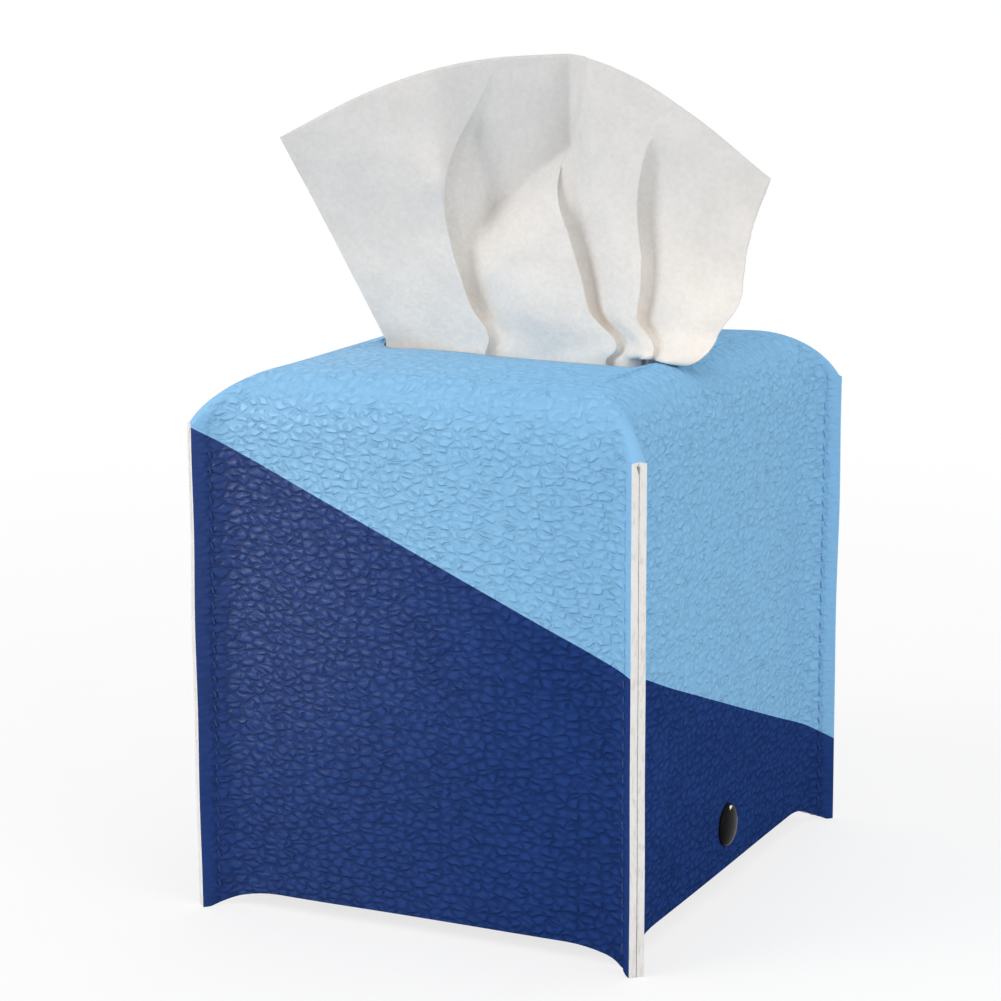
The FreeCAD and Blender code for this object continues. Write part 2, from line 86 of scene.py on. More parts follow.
camera_data = bpy.data.cameras.new("camera")
camera_data.sensor_width = SENSOR_MM
camera_data.lens = FOCAL_PIXELS / IMAGE_WIDTH * SENSOR_MM
camera_data.clip_start = NEAREST
camera = bpy.data.objects.new("camera", camera_data)
camera.matrix_world = Matrix.Translation(CAMERA_PLACE) @ camera_turn().to_4x4()
bpy.context.scene.collection.objects.link(camera)
bpy.context.scene.camera = camera
print("lens", round(camera_data.lens, 1), "mm")

# %% [markdown]
# ## Nodes by name
# A finish is a small tree of nodes. A few helpers keep the trees readable: one adds a node and sets or
# links its inputs in the same line, one starts a material with a single Principled shader, and the others
# are short names for common nodes. A number that is the same all over a surface goes straight on the
# shader's socket, and only what varies comes through a link.

# %% Node helpers
def add_node(tree, kind, inputs=None, **options):
    """Add a node to a tree, set its options, and set or link its inputs by name or number."""
    item = tree.nodes.new(kind)
    for option, value in options.items():
        setattr(item, option, value)
    for socket, value in (inputs or {}).items():
        if isinstance(value, bpy.types.NodeSocket):
            tree.links.new(value, item.inputs[socket])
        else:
            item.inputs[socket].default_value = value
    return item


def new_material(name, **sockets):
    """Material with one Principled shader, whose steady values are set by their socket names."""
    material = bpy.data.materials.new(name)
    material.use_nodes = True
    shader = material.node_tree.nodes["Principled BSDF"]
    for socket, value in sockets.items():
        shader.inputs[socket.replace("_", " ")].default_value = value
    return material, material.node_tree, shader


def math(tree, operation, first, second, third=0.0):
    return add_node(tree, "ShaderNodeMath", {0: first, 1: second, 2: third}, operation=operation).outputs[0]


def vector_math(tree, operation, first, second, third=(0, 0, 0)):
    item = add_node(tree, "ShaderNodeVectorMath", {0: first, 1: second, 2: third}, operation=operation)
    return item.outputs[0]


def mix_colour(tree, share, first, second):
    """First colour where the share is 0, second where it is 1."""
    return add_node(tree, "ShaderNodeMix", {0: share, 6: first, 7: second}, data_type="RGBA").outputs[2]


def ranged(tree, value, low, high, to_low=0.0, to_high=1.0, kind="SMOOTHSTEP"):
    """A value taken from one range to another."""
    return add_node(tree, "ShaderNodeMapRange",
                    {"Value": value, "From Min": low, "From Max": high, "To Min": to_low, "To Max": to_high},
                    interpolation_type=kind).outputs[0]


def object_place(tree, scale=(1, 1, 1)):
    """Object coordinates, stretched along each axis."""
    place = add_node(tree, "ShaderNodeTexCoord").outputs["Object"]
    return add_node(tree, "ShaderNodeMapping", {"Vector": place, "Scale": scale}).outputs[0]


def noise(tree, place, scale, detail=2.0):
    item = add_node(tree, "ShaderNodeTexNoise", {"Vector": place, "Scale": scale, "Detail": detail})
    return item.outputs["Fac"]


def wave(tree, place, scale, distortion, way):
    """Rows of soft bands across one direction."""
    bands = {"Vector": place, "Scale": scale, "Distortion": distortion}
    return add_node(tree, "ShaderNodeTexWave", bands, bands_direction=way).outputs["Fac"]


def set_colour(tree, shader, colour):
    tree.links.new(colour, shader.inputs["Base Color"])


def add_bump(tree, shader, height, strength, distance):
    bump = add_node(tree, "ShaderNodeBump", {"Height": height, "Strength": strength, "Distance": distance})
    tree.links.new(bump.outputs[0], shader.inputs["Normal"])


# %% [markdown]
# ## Light, floor and background
# A white studio is mostly sky: an even world, one large soft lamp from the upper left, a weaker one from
# the right and one from above. Two more lamps are seen only in shiny things, as the spot on a snap and
# the gloss of the leather. The lamps are set so that a white card would render as white, and then every
# colour in this file renders about as it is written. What the camera and shiny things see of the world is
# plain white, and the floor turns into that white with distance, while near the object it keeps the
# shadow.

# %% Studio
WORLD_LIGHT = 0.55
# Each lamp: place, side and power.
LAMPS = {
    "key": ((-0.85, -1.0, 1.0), 0.8, 9.0),
    "fill": ((1.35, -0.55, 0.75), 1.0, 6.0),
    "top": ((0.1, 0.25, 1.5), 1.0, 4.5),
    "sparkle": ((0.46, 0.69, 0.16), 0.2, 7.0),
    "glint": ((-0.55, -1.05, 0.55), 0.7, 30.0),
}
SHINE_ONLY = ("sparkle", "glint")
LAMP_TARGET = Vector((0, 0, 0.1))
FLOOR_SIDE = 12.0
FLOOR_SHADE = 0.25
WHITE_FROM = 0.16
WHITE_AT = 0.75
CARD_TONES = ((0.9, 0.9, 0.9, 1), (0.94, 0.94, 0.94, 1))


def add_lamp(name, place, side, power):
    """Square soft lamp that points at the object. Some are seen only in shiny things."""
    lamp = bpy.data.lights.new(name, "AREA")
    lamp.size = side
    lamp.energy = power
    item = bpy.data.objects.new(name, lamp)
    item.location = place
    item.rotation_euler = (LAMP_TARGET - Vector(place)).to_track_quat("-Z", "Y").to_euler()
    item.visible_diffuse = name not in SHINE_ONLY
    bpy.context.scene.collection.objects.link(item)


def seen_directly(tree):
    """1 for rays from the camera, a mirror or glass, and 0 for the rays that carry light."""
    path = add_node(tree, "ShaderNodeLightPath").outputs
    shiny = math(tree, "MAXIMUM", path["Is Glossy Ray"], path["Is Transmission Ray"])
    return math(tree, "MAXIMUM", path["Is Camera Ray"], shiny)


def studio_world():
    world = bpy.data.worlds.new("studio")
    world.use_nodes = True
    tree = world.node_tree
    background = tree.nodes["Background"]
    background.inputs["Color"].default_value = (1, 1, 1, 1)
    level = ranged(tree, seen_directly(tree), 0, 1, WORLD_LIGHT, 1.0, "LINEAR")
    tree.links.new(level, background.inputs["Strength"])
    bpy.context.scene.world = world


def floor_finish():
    """White card that shows part of its shade near the object and plain white further out."""
    material, tree, shader = new_material("floor", Roughness=0.9, Specular_IOR_Level=0.0)
    place = object_place(tree)
    set_colour(tree, shader, mix_colour(tree, noise(tree, place, scale=40.0), *CARD_TONES))
    white = add_node(tree, "ShaderNodeEmission", {"Color": (1, 1, 1, 1), "Strength": 1.0})
    reach = add_node(tree, "ShaderNodeVectorMath", {0: place}, operation="LENGTH").outputs["Value"]
    share = math(tree, "MULTIPLY", ranged(tree, reach, WHITE_FROM, WHITE_AT, 1 - FLOOR_SHADE, 1.0),
                 seen_directly(tree))
    blend = add_node(tree, "ShaderNodeMixShader", {0: share, 1: shader.outputs[0], 2: white.outputs[0]})
    tree.links.new(blend.outputs[0], tree.nodes["Material Output"].inputs["Surface"])
    return material


for lamp_name, lamp in LAMPS.items():
    add_lamp(lamp_name, *lamp)
studio_world()
bpy.context.scene.view_settings.view_transform = "Standard"
print("lamps:", ", ".join(LAMPS))

# %% [markdown]
# ## Putting a numpy surface into a mesh
# Blender keeps a mesh as flat lists. A grid of points needs only an array of vertex numbers in the same
# layout: each cell of four neighbours is a face. Handing whole arrays over with foreach_set is quick, and
# no vertex is ever visited one by one. Points that fall together, as at the pole of a turned piece, are
# merged afterwards.

# %% Mesh helpers
MERGE = 1e-7
SHARP = np.radians(50)


def grid_quads(numbers):
    """Four-sided faces of a grid of vertex numbers: each cell's corners, in turn."""
    corners = [numbers[:-1, :-1], numbers[:-1, 1:], numbers[1:, 1:], numbers[1:, :-1]]
    return np.stack(corners, -1).reshape(-1, 4)


def tube_quads(rows, around):
    """Faces of rings of points that close on themselves."""
    numbers = np.arange(rows * around).reshape(rows, around)
    return grid_quads(np.concatenate([numbers, numbers[:, :1]], 1))


def make_piece(name, points, quads, materials, merge=False):
    """A smooth mesh object from an array of points and an array of quads."""
    points = np.asarray(points, np.float32).reshape(-1, 3)
    quads = np.asarray(quads, np.int32).reshape(-1, 4)
    mesh = bpy.data.meshes.new(name)
    mesh.vertices.add(len(points))
    mesh.vertices.foreach_set("co", points.ravel())
    mesh.loops.add(quads.size)
    mesh.loops.foreach_set("vertex_index", quads.ravel())
    mesh.polygons.add(len(quads))
    mesh.polygons.foreach_set("loop_start", np.arange(0, quads.size, 4, dtype=np.int32))
    mesh.update(calc_edges=True)
    if merge:
        work = bmesh.new()
        work.from_mesh(mesh)
        bmesh.ops.remove_doubles(work, verts=work.verts, dist=MERGE)
        bmesh.ops.recalc_face_normals(work, faces=work.faces)
        work.to_mesh(mesh)
        work.free()
    mesh.validate()
    mesh.shade_smooth()
    for material in materials:
        mesh.materials.append(material)
    piece = bpy.data.objects.new(name, mesh)
    bpy.context.scene.collection.objects.link(piece)
    print(name, len(mesh.vertices), "points", len(mesh.polygons), "faces")
    return piece


def dress(piece, body, slot, *nodes):
    """A piece rides on its body and stands for its CAD nodes, which are hidden. The slot is not used."""
    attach(piece, body)
    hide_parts(*nodes)


def ease(share):
    """Smooth step: 3 s^2 - 2 s^3 of a share kept between 0 and 1."""
    share = np.clip(share, 0, 1)
    return share * share * (3 - 2 * share)


def through(places, values, at):
    """Smooth curve through a few values: each piece is a cubic that meets its neighbours with the mean
    slope."""
    places, values = np.asarray(places, float), np.asarray(values, float)
    slopes = np.gradient(values, places)
    left = np.clip(np.searchsorted(places, at) - 1, 0, len(places) - 2)
    step = places[left + 1] - places[left]
    s = np.clip((at - places[left]) / step, 0, 1)
    return (values[left] * (1 + 2 * s) * (1 - s) ** 2 + slopes[left] * step * s * (1 - s) ** 2
            + values[left + 1] * s * s * (3 - 2 * s) + slopes[left + 1] * step * s * s * (s - 1))


def waves(seed, points, longest, shortest, count):
    """Soft uneven field: a sum of plane waves with seeded directions and phases, shorter waves being
    lower."""
    draw = np.random.default_rng(seed)
    lengths = np.geomspace(longest, shortest, count)
    ways = draw.normal(size=(count, 3))
    ways *= (2 * np.pi / lengths / np.linalg.norm(ways, axis=1))[:, None]
    phases = draw.uniform(0, 2 * np.pi, count)
    return np.sin(points @ ways.T + phases) @ (lengths / lengths.sum())


# %% [markdown]
# ## The printed leather
# The cover is cut from a coated fabric with a pebbled grain. It is printed in two blues that meet on one
# slanting plane through the whole box, so the line runs on round every corner. A picture could be wrapped
# on, but a plane test on object coordinates needs no unwrapping, and stays sharp at any size. The pebbles
# are flat Voronoi cells, projected from the front, the side and above and blended by which way the
# surface faces. Each cell is a low dome that falls to a crease at its border, and the tone, the gloss and
# a bump follow it. The tone is partly the leather's own and partly painted shade in the creases and
# painted highlight on the pebbles.

# %% Leather grain
LIGHT_BLUE = (0.255, 0.523, 0.800, 1)
NAVY = (0.0180, 0.0485, 0.193, 1)
PRINT_SLANT = (0.43, 0.356, 1.0)
PRINT_HEIGHT = 0.081
GRAIN = 0.0034
GRAIN_SQUASH = 1.55
BEND_SCALE = 0.75 / GRAIN
CELL_RANDOM = 0.9
DOME_REACH = 0.8
LEAN_REACH = 0.6 * GRAIN
LEAN_SHARE = 0.45
CREASE_WIDTH = 0.30
CREASE_FAINT = 0.66
FAINT_SCALE = 0.9 / GRAIN
FAINT_FROM, FAINT_TO = 0.35, 0.65
FACING_POWER = 8.0


def pebble_cells(tree, across, up):
    """Height of the grain on one plane: each Voronoi cell is a dome, 1 - (d / r)^2 of the distance d to
    its middle, that stands out further at its lower side, like a shingle, and falls smoothly towards its
    border. One soft noise bends the cells, and another lets some creases run out."""
    flat = add_node(tree, "ShaderNodeCombineXYZ", {0: across, 1: up}).outputs[0]
    drift = add_node(tree, "ShaderNodeTexNoise", {"Vector": flat, "Scale": BEND_SCALE, "Detail": 2.0},
                     noise_dimensions="2D").outputs["Color"]
    centred = vector_math(tree, "SUBTRACT", drift, (0.5, 0.5, 0.5))
    bent = vector_math(tree, "MULTIPLY_ADD", centred, (GRAIN, GRAIN, GRAIN), flat)
    cells = {"Vector": bent, "Scale": 1 / GRAIN, "Randomness": CELL_RANDOM}
    cell, border = [
        add_node(tree, "ShaderNodeTexVoronoi", cells, feature=kind, voronoi_dimensions="2D").outputs
        for kind in ("F1", "DISTANCE_TO_EDGE")]
    reach = ranged(tree, cell["Distance"], 0.0, DOME_REACH, kind="LINEAR")
    domed = math(tree, "SUBTRACT", 1.0, math(tree, "MULTIPLY", reach, reach))
    offset = vector_math(tree, "SUBTRACT", cell["Position"], bent)
    lower = add_node(tree, "ShaderNodeSeparateXYZ", {0: offset}).outputs["Y"]
    lean = ranged(tree, lower, -LEAN_REACH, LEAN_REACH, kind="LINEAR")
    height = math(tree, "MULTIPLY_ADD", lean, LEAN_SHARE, math(tree, "MULTIPLY", domed, 1 - LEAN_SHARE))
    fall = ranged(tree, border["Distance"], 0.0, CREASE_WIDTH)
    faint = noise(tree, flat, FAINT_SCALE, detail=1.0)
    shallow = ranged(tree, faint, FAINT_FROM, FAINT_TO, to_high=CREASE_FAINT)
    fall = math(tree, "MULTIPLY_ADD", math(tree, "SUBTRACT", 1.0, fall), shallow, fall)
    return math(tree, "MULTIPLY", height, fall)


def pebbles(tree):
    """Height of the grain, 0 in the creases and 1 on the pebbles. Each of the three planes counts by a
    high power of how squarely the surface faces it."""
    texture = add_node(tree, "ShaderNodeTexCoord").outputs
    x, y, z = add_node(tree, "ShaderNodeSeparateXYZ", {0: texture["Object"]}).outputs
    tall = math(tree, "MULTIPLY", z, GRAIN_SQUASH)
    planes = (pebble_cells(tree, y, tall), pebble_cells(tree, x, tall), pebble_cells(tree, x, y))
    facing = add_node(tree, "ShaderNodeSeparateXYZ", {0: texture["Normal"]}).outputs
    weights = [math(tree, "POWER", math(tree, "ABSOLUTE", way, 0), FACING_POWER) for way in facing]
    total = math(tree, "ADD", math(tree, "ADD", weights[0], weights[1]), weights[2])
    height = math(tree, "MULTIPLY", planes[0], weights[0])
    for plane, weight in zip(planes[1:], weights[1:]):
        height = math(tree, "MULTIPLY_ADD", plane, weight, height)
    return math(tree, "DIVIDE", height, total)


def print_share(tree):
    """1 above the slanting plane of the print and 0 below it."""
    level = add_node(tree, "ShaderNodeVectorMath", {0: object_place(tree), 1: PRINT_SLANT},
                     operation="DOT_PRODUCT").outputs["Value"]
    return math(tree, "GREATER_THAN", level, PRINT_HEIGHT)


def toned(tree, colour, low, high, share):
    """A colour from a darker to a lighter tone of itself."""
    dark, light = ([part * tone for part in colour[:3]] + [1] for tone in (low, high))
    return mix_colour(tree, share, dark, light)


# %% Leather finish
GRAIN_DEPTH = 0.00070
FINE_SCALE, FINE_SHARE = 3.0 / GRAIN, 0.10
STRETCHED = 0.8
CLOUD_SHARE = 0.4
# Tones from crease to pebble: the leather's own tone plus painted shade in the creases and painted highlight
# on the pebbles.
NAVY_TONES_AND_PAINTED_SHADE = (0.57, 1.36)
LIGHT_BLUE_TONES_AND_PAINTED_SHADE = (0.925, 1.065)
CREASE_ROUGH, PEBBLE_ROUGH = 0.66, 0.38
# Painted sheen: the specular level set by place, highest at the upper left and the top, where the lamps'
# sheen falls.
PAINTED_SHEEN_LEFT, PAINTED_SHEEN_RIGHT, PAINTED_SHEEN_LOW = 0.145, 0.0, 0.35
PAINTED_SHEEN_X = (-0.06, 0.045)
PAINTED_SHEEN_Z = (0.015, 0.095)


def leather_finish(name, two_tone):
    """Pebbled leather: dull creases, smoother pebbles, a slow cloud over both. The colour is darker in the
    creases and lighter on the pebbles, partly the leather's own tone and partly painted shade and painted
    highlight. The grain is stretched away where the attribute "stretch" is 1, and the specular level is
    raised towards the upper left and the top as a painted sheen, where the lamps' sheen falls."""
    material, tree, shader = new_material(name)
    place = object_place(tree)
    stretch = add_node(tree, "ShaderNodeAttribute", attribute_name="stretch").outputs["Fac"]
    pebble = math(tree, "MULTIPLY", math(tree, "SUBTRACT", 1.0, stretch), pebbles(tree))
    pebble = math(tree, "MULTIPLY_ADD", stretch, STRETCHED, pebble)
    cloud = noise(tree, place, scale=55.0, detail=3.0)
    # Painted shade and highlight: the colour follows the relief, darker in the creases and lighter on the
    # pebbles, with a random cloud of tone mixed in.
    tone = math(tree, "MULTIPLY", pebble, 1 - CLOUD_SHARE)
    tone = math(tree, "MULTIPLY_ADD", cloud, CLOUD_SHARE, tone)
    colour = toned(tree, NAVY, *NAVY_TONES_AND_PAINTED_SHADE, tone)
    if two_tone:
        colour = mix_colour(tree, print_share(tree), colour, toned(tree, LIGHT_BLUE, *LIGHT_BLUE_TONES_AND_PAINTED_SHADE, tone))
    set_colour(tree, shader, colour)
    tree.links.new(ranged(tree, pebble, 0.0, 1.0, CREASE_ROUGH, PEBBLE_ROUGH), shader.inputs["Roughness"])
    # Painted sheen: the specular level is raised towards the upper left and the top, where the lamps' sheen
    # falls.
    x, _, z = add_node(tree, "ShaderNodeSeparateXYZ", {0: place}).outputs
    painted_sheen = math(tree, "MULTIPLY", ranged(tree, x, *PAINTED_SHEEN_X, PAINTED_SHEEN_LEFT, PAINTED_SHEEN_RIGHT),
                 ranged(tree, z, *PAINTED_SHEEN_Z, to_low=PAINTED_SHEEN_LOW))
    tree.links.new(painted_sheen, shader.inputs["Specular IOR Level"])
    height = math(tree, "MULTIPLY_ADD", noise(tree, place, FINE_SCALE, detail=3.0), FINE_SHARE, pebble)
    add_bump(tree, shader, height, strength=1.0, distance=GRAIN_DEPTH)
    return material


# %% [markdown]
# ## Cut edge, backing and thread
# Where the leather is cut its pale core shows, and its inside is woven. Both are seen only in narrow
# bands, so a noise drawn out along the cut and two crossing waves are enough. The thread is dyed like the
# leather it holds, so it asks the same plane which blue it is.

# %% Edge, backing and thread finishes
EDGE_HOLLOW = (0.74, 0.71, 0.66, 1)
EDGE_TONES = ((0.80, 0.78, 0.75, 1), (0.90, 0.89, 0.88, 1))
EDGE_GRAIN = (1.0, 1.0, 0.25)
WEAVE_TONES = ((0.62, 0.61, 0.58, 1), (0.82, 0.81, 0.78, 1))
PLY_SLANT = (1.0, 1.0, 2.0)
THREAD_NAVY_TONES = (0.8, 1.25)
THREAD_LIGHT_TONES = (0.88, 1.04)


def raw_edge_finish():
    """Cut edge: off-white fibres that run along the cut, with slightly darker hollows between them."""
    material, tree, shader = new_material("raw_edge", Roughness=0.92, Specular_IOR_Level=0.15)
    fibres = noise(tree, object_place(tree, EDGE_GRAIN), scale=1300.0, detail=3.0)
    stain = noise(tree, object_place(tree), scale=150.0, detail=3.0)
    pale = mix_colour(tree, stain, *EDGE_TONES)
    set_colour(tree, shader, mix_colour(tree, ranged(tree, fibres, low=0.3, high=0.5), EDGE_HOLLOW, pale))
    add_bump(tree, shader, fibres, strength=0.35, distance=0.0003)
    return material


def backing_finish():
    """Woven backing inside the cover: two crossing rows of pale yarn."""
    material, tree, shader = new_material("woven_backing", Roughness=0.95, Specular_IOR_Level=0.15)
    place = object_place(tree)
    rows = [wave(tree, place, scale=260.0, distortion=0.6, way=way) for way in ("DIAGONAL", "Z")]
    weave = math(tree, "MULTIPLY", *rows)
    set_colour(tree, shader, mix_colour(tree, weave, *WEAVE_TONES))
    add_bump(tree, shader, weave, strength=0.4, distance=0.0003)
    return material


def thread_finish():
    """Sewing thread dyed to the print, with the twist of its plies as a fine slanted wave."""
    material, tree, shader = new_material("seam_thread", Roughness=0.7, Specular_IOR_Level=0.25)
    twist = wave(tree, object_place(tree, PLY_SLANT), scale=480.0, distortion=0.4, way="DIAGONAL")
    set_colour(tree, shader, mix_colour(tree, print_share(tree), toned(tree, NAVY, *THREAD_NAVY_TONES, twist),
                                        toned(tree, LIGHT_BLUE, *THREAD_LIGHT_TONES, twist)))
    add_bump(tree, shader, twist, strength=0.5, distance=0.0002)
    return material


printed_leather = leather_finish("printed_leather", True)
strap_leather = leather_finish("strap_leather", False)
raw_edge = raw_edge_finish()
woven_backing = backing_finish()
seam_thread = thread_finish()
print("leather finishes made, pebbles about", GRAIN, "m across")

# %% [markdown]
# ## The cover: one blank, four standing seams
# On the bench this is a cross of leather. Its four walls are folded down and sewn together edge to edge,
# with the raw edges outwards, so every corner carries a double fin. Each wall is one grid of points here.
# Across, a line of the grid runs along one seam face, round the valley, over the wall and out again.
# Upwards it runs from the arched lower edge to the seam's top, over the rolled edge and in to the slot.
# Below the seam's top two walls meet in separate edges; above it their last lines are the same points,
# which closes the leather.

# %% Sizes of the cover
SIN_45 = np.sqrt(0.5)
LEATHER = 0.002
SEAM_GAP = 0.0002
FIN_HALF = LEATHER + SEAM_GAP / 2
FIN_LENGTH = 0.0068
FIN_ROOT = 0.008
SEAM_BELOW_TOP = 0.015
TOP_ROLL = 0.016
ARCH_RISE = {"front": 0.0048, "right": 0.0062, "back": 0.0048, "left": 0.0062}
ARCH_RUN = 0.020
FOOT = 0.003
SLOT_LENGTH = 0.090
SLOT_WIDTH = 0.026
CROWN = 0.0012
CROWN_RUN = 0.04
LIP_SAG, END_SAG = 0.0011, 0.0009
END_FROM, END_RUN = 0.018, 0.028
WALL_SWELL = 0.0008
DIP, DIP_IN, DIP_WIDTH = 0.0014, 0.0135, 0.0080
DIP_UP, DIP_DOWN = 0.65, 0.16

HEIGHT = cover_high.z
FIN_TOP = HEIGHT - SEAM_BELOW_TOP
WALL_X = cover_high.x - (FIN_LENGTH + FIN_HALF) * SIN_45
WALL_Y = cover_high.y - (FIN_LENGTH + FIN_HALF) * SIN_45
VALLEY_END = FIN_ROOT * np.tan(np.pi / 8) - FIN_HALF
VALLEY_RUN = FIN_ROOT - VALLEY_END / SIN_45
VALLEY_ARC = FIN_ROOT * np.pi / 4
FIN_FACE = FIN_LENGTH - VALLEY_END
print("walls at", round(WALL_X, 4), round(WALL_Y, 4), "seam top", round(FIN_TOP, 4))

# %% Plan of a wall
STITCH_IN = 0.0005
STITCH_GROOVE = 0.00045
GROOVE_WIDTH = 0.0006


def wall_plan(way, half_side):
    """Plan of a wall and its two seam layers as (along, outward), from the signed way along the leather:
    straight, then 45 degrees of an arc with the valley's radius, then straight out along the seam. A
    shallow groove, exp(-(x/w)^2), marks the line of stitches on the seam's face."""
    reach = np.abs(way)
    straight = half_side - VALLEY_RUN
    turn = np.clip((reach - straight) / FIN_ROOT, 0, np.pi / 4)
    face = np.clip(reach - straight - VALLEY_ARC, 0, None)
    groove = STITCH_GROOVE * np.exp(-((reach - straight - VALLEY_ARC - STITCH_IN) / GROOVE_WIDTH) ** 2)
    along = np.minimum(reach, straight) + FIN_ROOT * np.sin(turn) + (face + groove) * SIN_45
    outward = FIN_ROOT * (1 - np.cos(turn)) + (face - groove) * SIN_45
    return np.sign(way) * along, outward


def lower_edge(along, half_side, rise):
    """Height of the arched lower edge: level in the middle, and an arc down to the foot at each end."""
    radius = (ARCH_RUN ** 2 + rise ** 2) / (2 * rise)
    past = np.clip(np.abs(along) - (half_side + FIN_LENGTH * SIN_45 - FOOT - ARCH_RUN), 0, ARCH_RUN)
    return rise - radius + np.sqrt(radius ** 2 - past ** 2)


# %% One wall, from its lower edge to the slot
MIDDLE_STEPS = 20
SEAM_STEPS = 20
WALL_STEPS = 44
ROLL_STEPS = 20
ROLL_CROWD = 1.4
TOP_STEPS = 20
RIDGE_FADE = 0.013
SWELL_EDGE = 0.03
CORNER_STRETCH = 0.0075
SEAM_STRETCH = 0.75
ROLL_RELAX = 1.2


def wall_surface(name, half_side, distance, slot_flat, slot_base, tangent):
    """Grid of one wall's points. Wall rows stand on the plan, with a low swell in the middle and a dip,
    exp(-(x/w)^2), beside each seam. Roll rows are the plan drawn in by r (1 - cos t) at the height r sin
    t, easing from the plan with its fins to a plain straight line; they crowd at the seam's top. Top
    rows go on from there to the rim of the slot in a straight way, with a low crown of sin(pi s) and a
    sag of s^2 at the rim, deeper at its right end. A fourth number says how far the corner has stretched
    the grain away."""
    seam = VALLEY_ARC + FIN_FACE
    reach = half_side - VALLEY_RUN + seam
    half = np.concatenate([np.linspace(0, reach - seam, MIDDLE_STEPS, endpoint=False),
                           np.linspace(reach - seam, reach, SEAM_STEPS)])
    way = np.concatenate([-half[:0:-1], half])

    along, outward = wall_plan(way, half_side)
    foot = lower_edge(along, half_side, ARCH_RISE[name])
    rise = np.linspace(0, 1, WALL_STEPS)[:, None]
    wall_z = foot + (FIN_TOP - foot) * rise
    middle = ease((half_side - np.abs(along)) / SWELL_EDGE)
    swell = WALL_SWELL * middle * np.sin(np.pi * rise) ** 2
    dip = np.exp(-((half_side - np.abs(along) - DIP_IN) / DIP_WIDTH) ** 2)
    swell = swell - DIP * dip * ease(rise / DIP_UP) * ease((1 - rise) / DIP_DOWN)
    wall_rows = np.stack([along + 0 * wall_z, distance + outward + swell, wall_z], -1)

    first_turn = np.arcsin(1 - SEAM_BELOW_TOP / TOP_ROLL)
    turn = first_turn + (np.pi / 2 - first_turn) * np.linspace(0, 1, ROLL_STEPS)[1:, None] ** ROLL_CROWD
    ridge = np.exp(-TOP_ROLL * (turn - first_turn) / RIDGE_FADE)
    ridge = ridge * (1 - ease((turn - first_turn) / (np.pi / 2 - first_turn)) ** 2)
    inset = TOP_ROLL * (1 - np.cos(turn))
    fin_along, fin_outward = wall_plan(way * (reach - inset) / reach, half_side - inset)
    plain = way / reach * (half_side - inset)
    roll_along = fin_along * ridge + plain * (1 - ridge)
    roll_out = distance - inset + fin_outward * ridge
    roll_z = HEIGHT - TOP_ROLL * (1 - np.sin(turn))
    roll_rows = np.stack([roll_along, roll_out, roll_z + 0 * roll_along], -1)

    round_end = SLOT_WIDTH / 2
    rim_way = way / reach * (slot_flat + round_end * np.pi / 4)
    flat = np.clip(rim_way, -slot_flat, slot_flat)
    rim_turn = (rim_way - flat) / round_end
    rim = np.stack([flat + round_end * np.sin(rim_turn), slot_base + round_end * np.cos(rim_turn),
                    np.full_like(way, HEIGHT)], -1)
    share = np.linspace(0, 1, TOP_STEPS)[1:, None]
    top_rows = roll_rows[-1] + (rim - roll_rows[-1]) * share[..., None]
    tx, ty = tangent
    right_end = ease((top_rows[..., 0] * tx + top_rows[..., 1] * ty - END_FROM) / END_RUN)
    run = np.linalg.norm(rim - roll_rows[-1], axis=-1)
    crown = CROWN * ease(run / CROWN_RUN)
    top_rows[..., 2] += crown * np.sin(np.pi * share) - (LIP_SAG + END_SAG * right_end) * share ** 2

    local = np.concatenate([wall_rows, roll_rows, top_rows])
    corner = ease(1 - (reach - np.abs(way)) / CORNER_STRETCH)
    relaxed = ease(np.linspace(0, 1, ROLL_STEPS - 1) * ROLL_RELAX)
    tight = np.concatenate([np.full(WALL_STEPS, SEAM_STRETCH), 1 - relaxed, np.zeros(TOP_STEPS - 1)])
    return np.stack([local[..., 0] * tx + local[..., 1] * ty, local[..., 0] * ty - local[..., 1] * tx,
                     local[..., 2], corner * tight[:, None]], -1)


SLOT_FLAT = (SLOT_LENGTH - SLOT_WIDTH) / 2
# Each wall: half its side, its distance, its rim's half straight and base, and its direction.
WALLS = {
    "front": (WALL_X, WALL_Y, SLOT_FLAT, 0.0, (1, 0)),
    "right": (WALL_Y, WALL_X, 0.0, SLOT_FLAT, (0, 1)),
    "back": (WALL_X, WALL_Y, SLOT_FLAT, 0.0, (-1, 0)),
    "left": (WALL_Y, WALL_X, 0.0, SLOT_FLAT, (0, -1)),
}
wall_grids = np.stack([wall_surface(name, *wall) for name, wall in WALLS.items()])
print("each wall is a grid of", wall_grids.shape[1:3])

# %% Join the walls above the seams
SOFTEST = 4.0


def soften(rings, spread):
    """Smooth closed rings of points: each Fourier term of a ring fades as exp(-2 (pi f s)^2), s in mesh
    steps."""
    terms = np.fft.rfft(rings, axis=1)
    pace = np.fft.rfftfreq(rings.shape[1])
    fade = np.exp(-2 * (np.pi * pace * spread[:, None]) ** 2)
    return np.fft.irfft(terms * fade[..., None], n=rings.shape[1], axis=1)


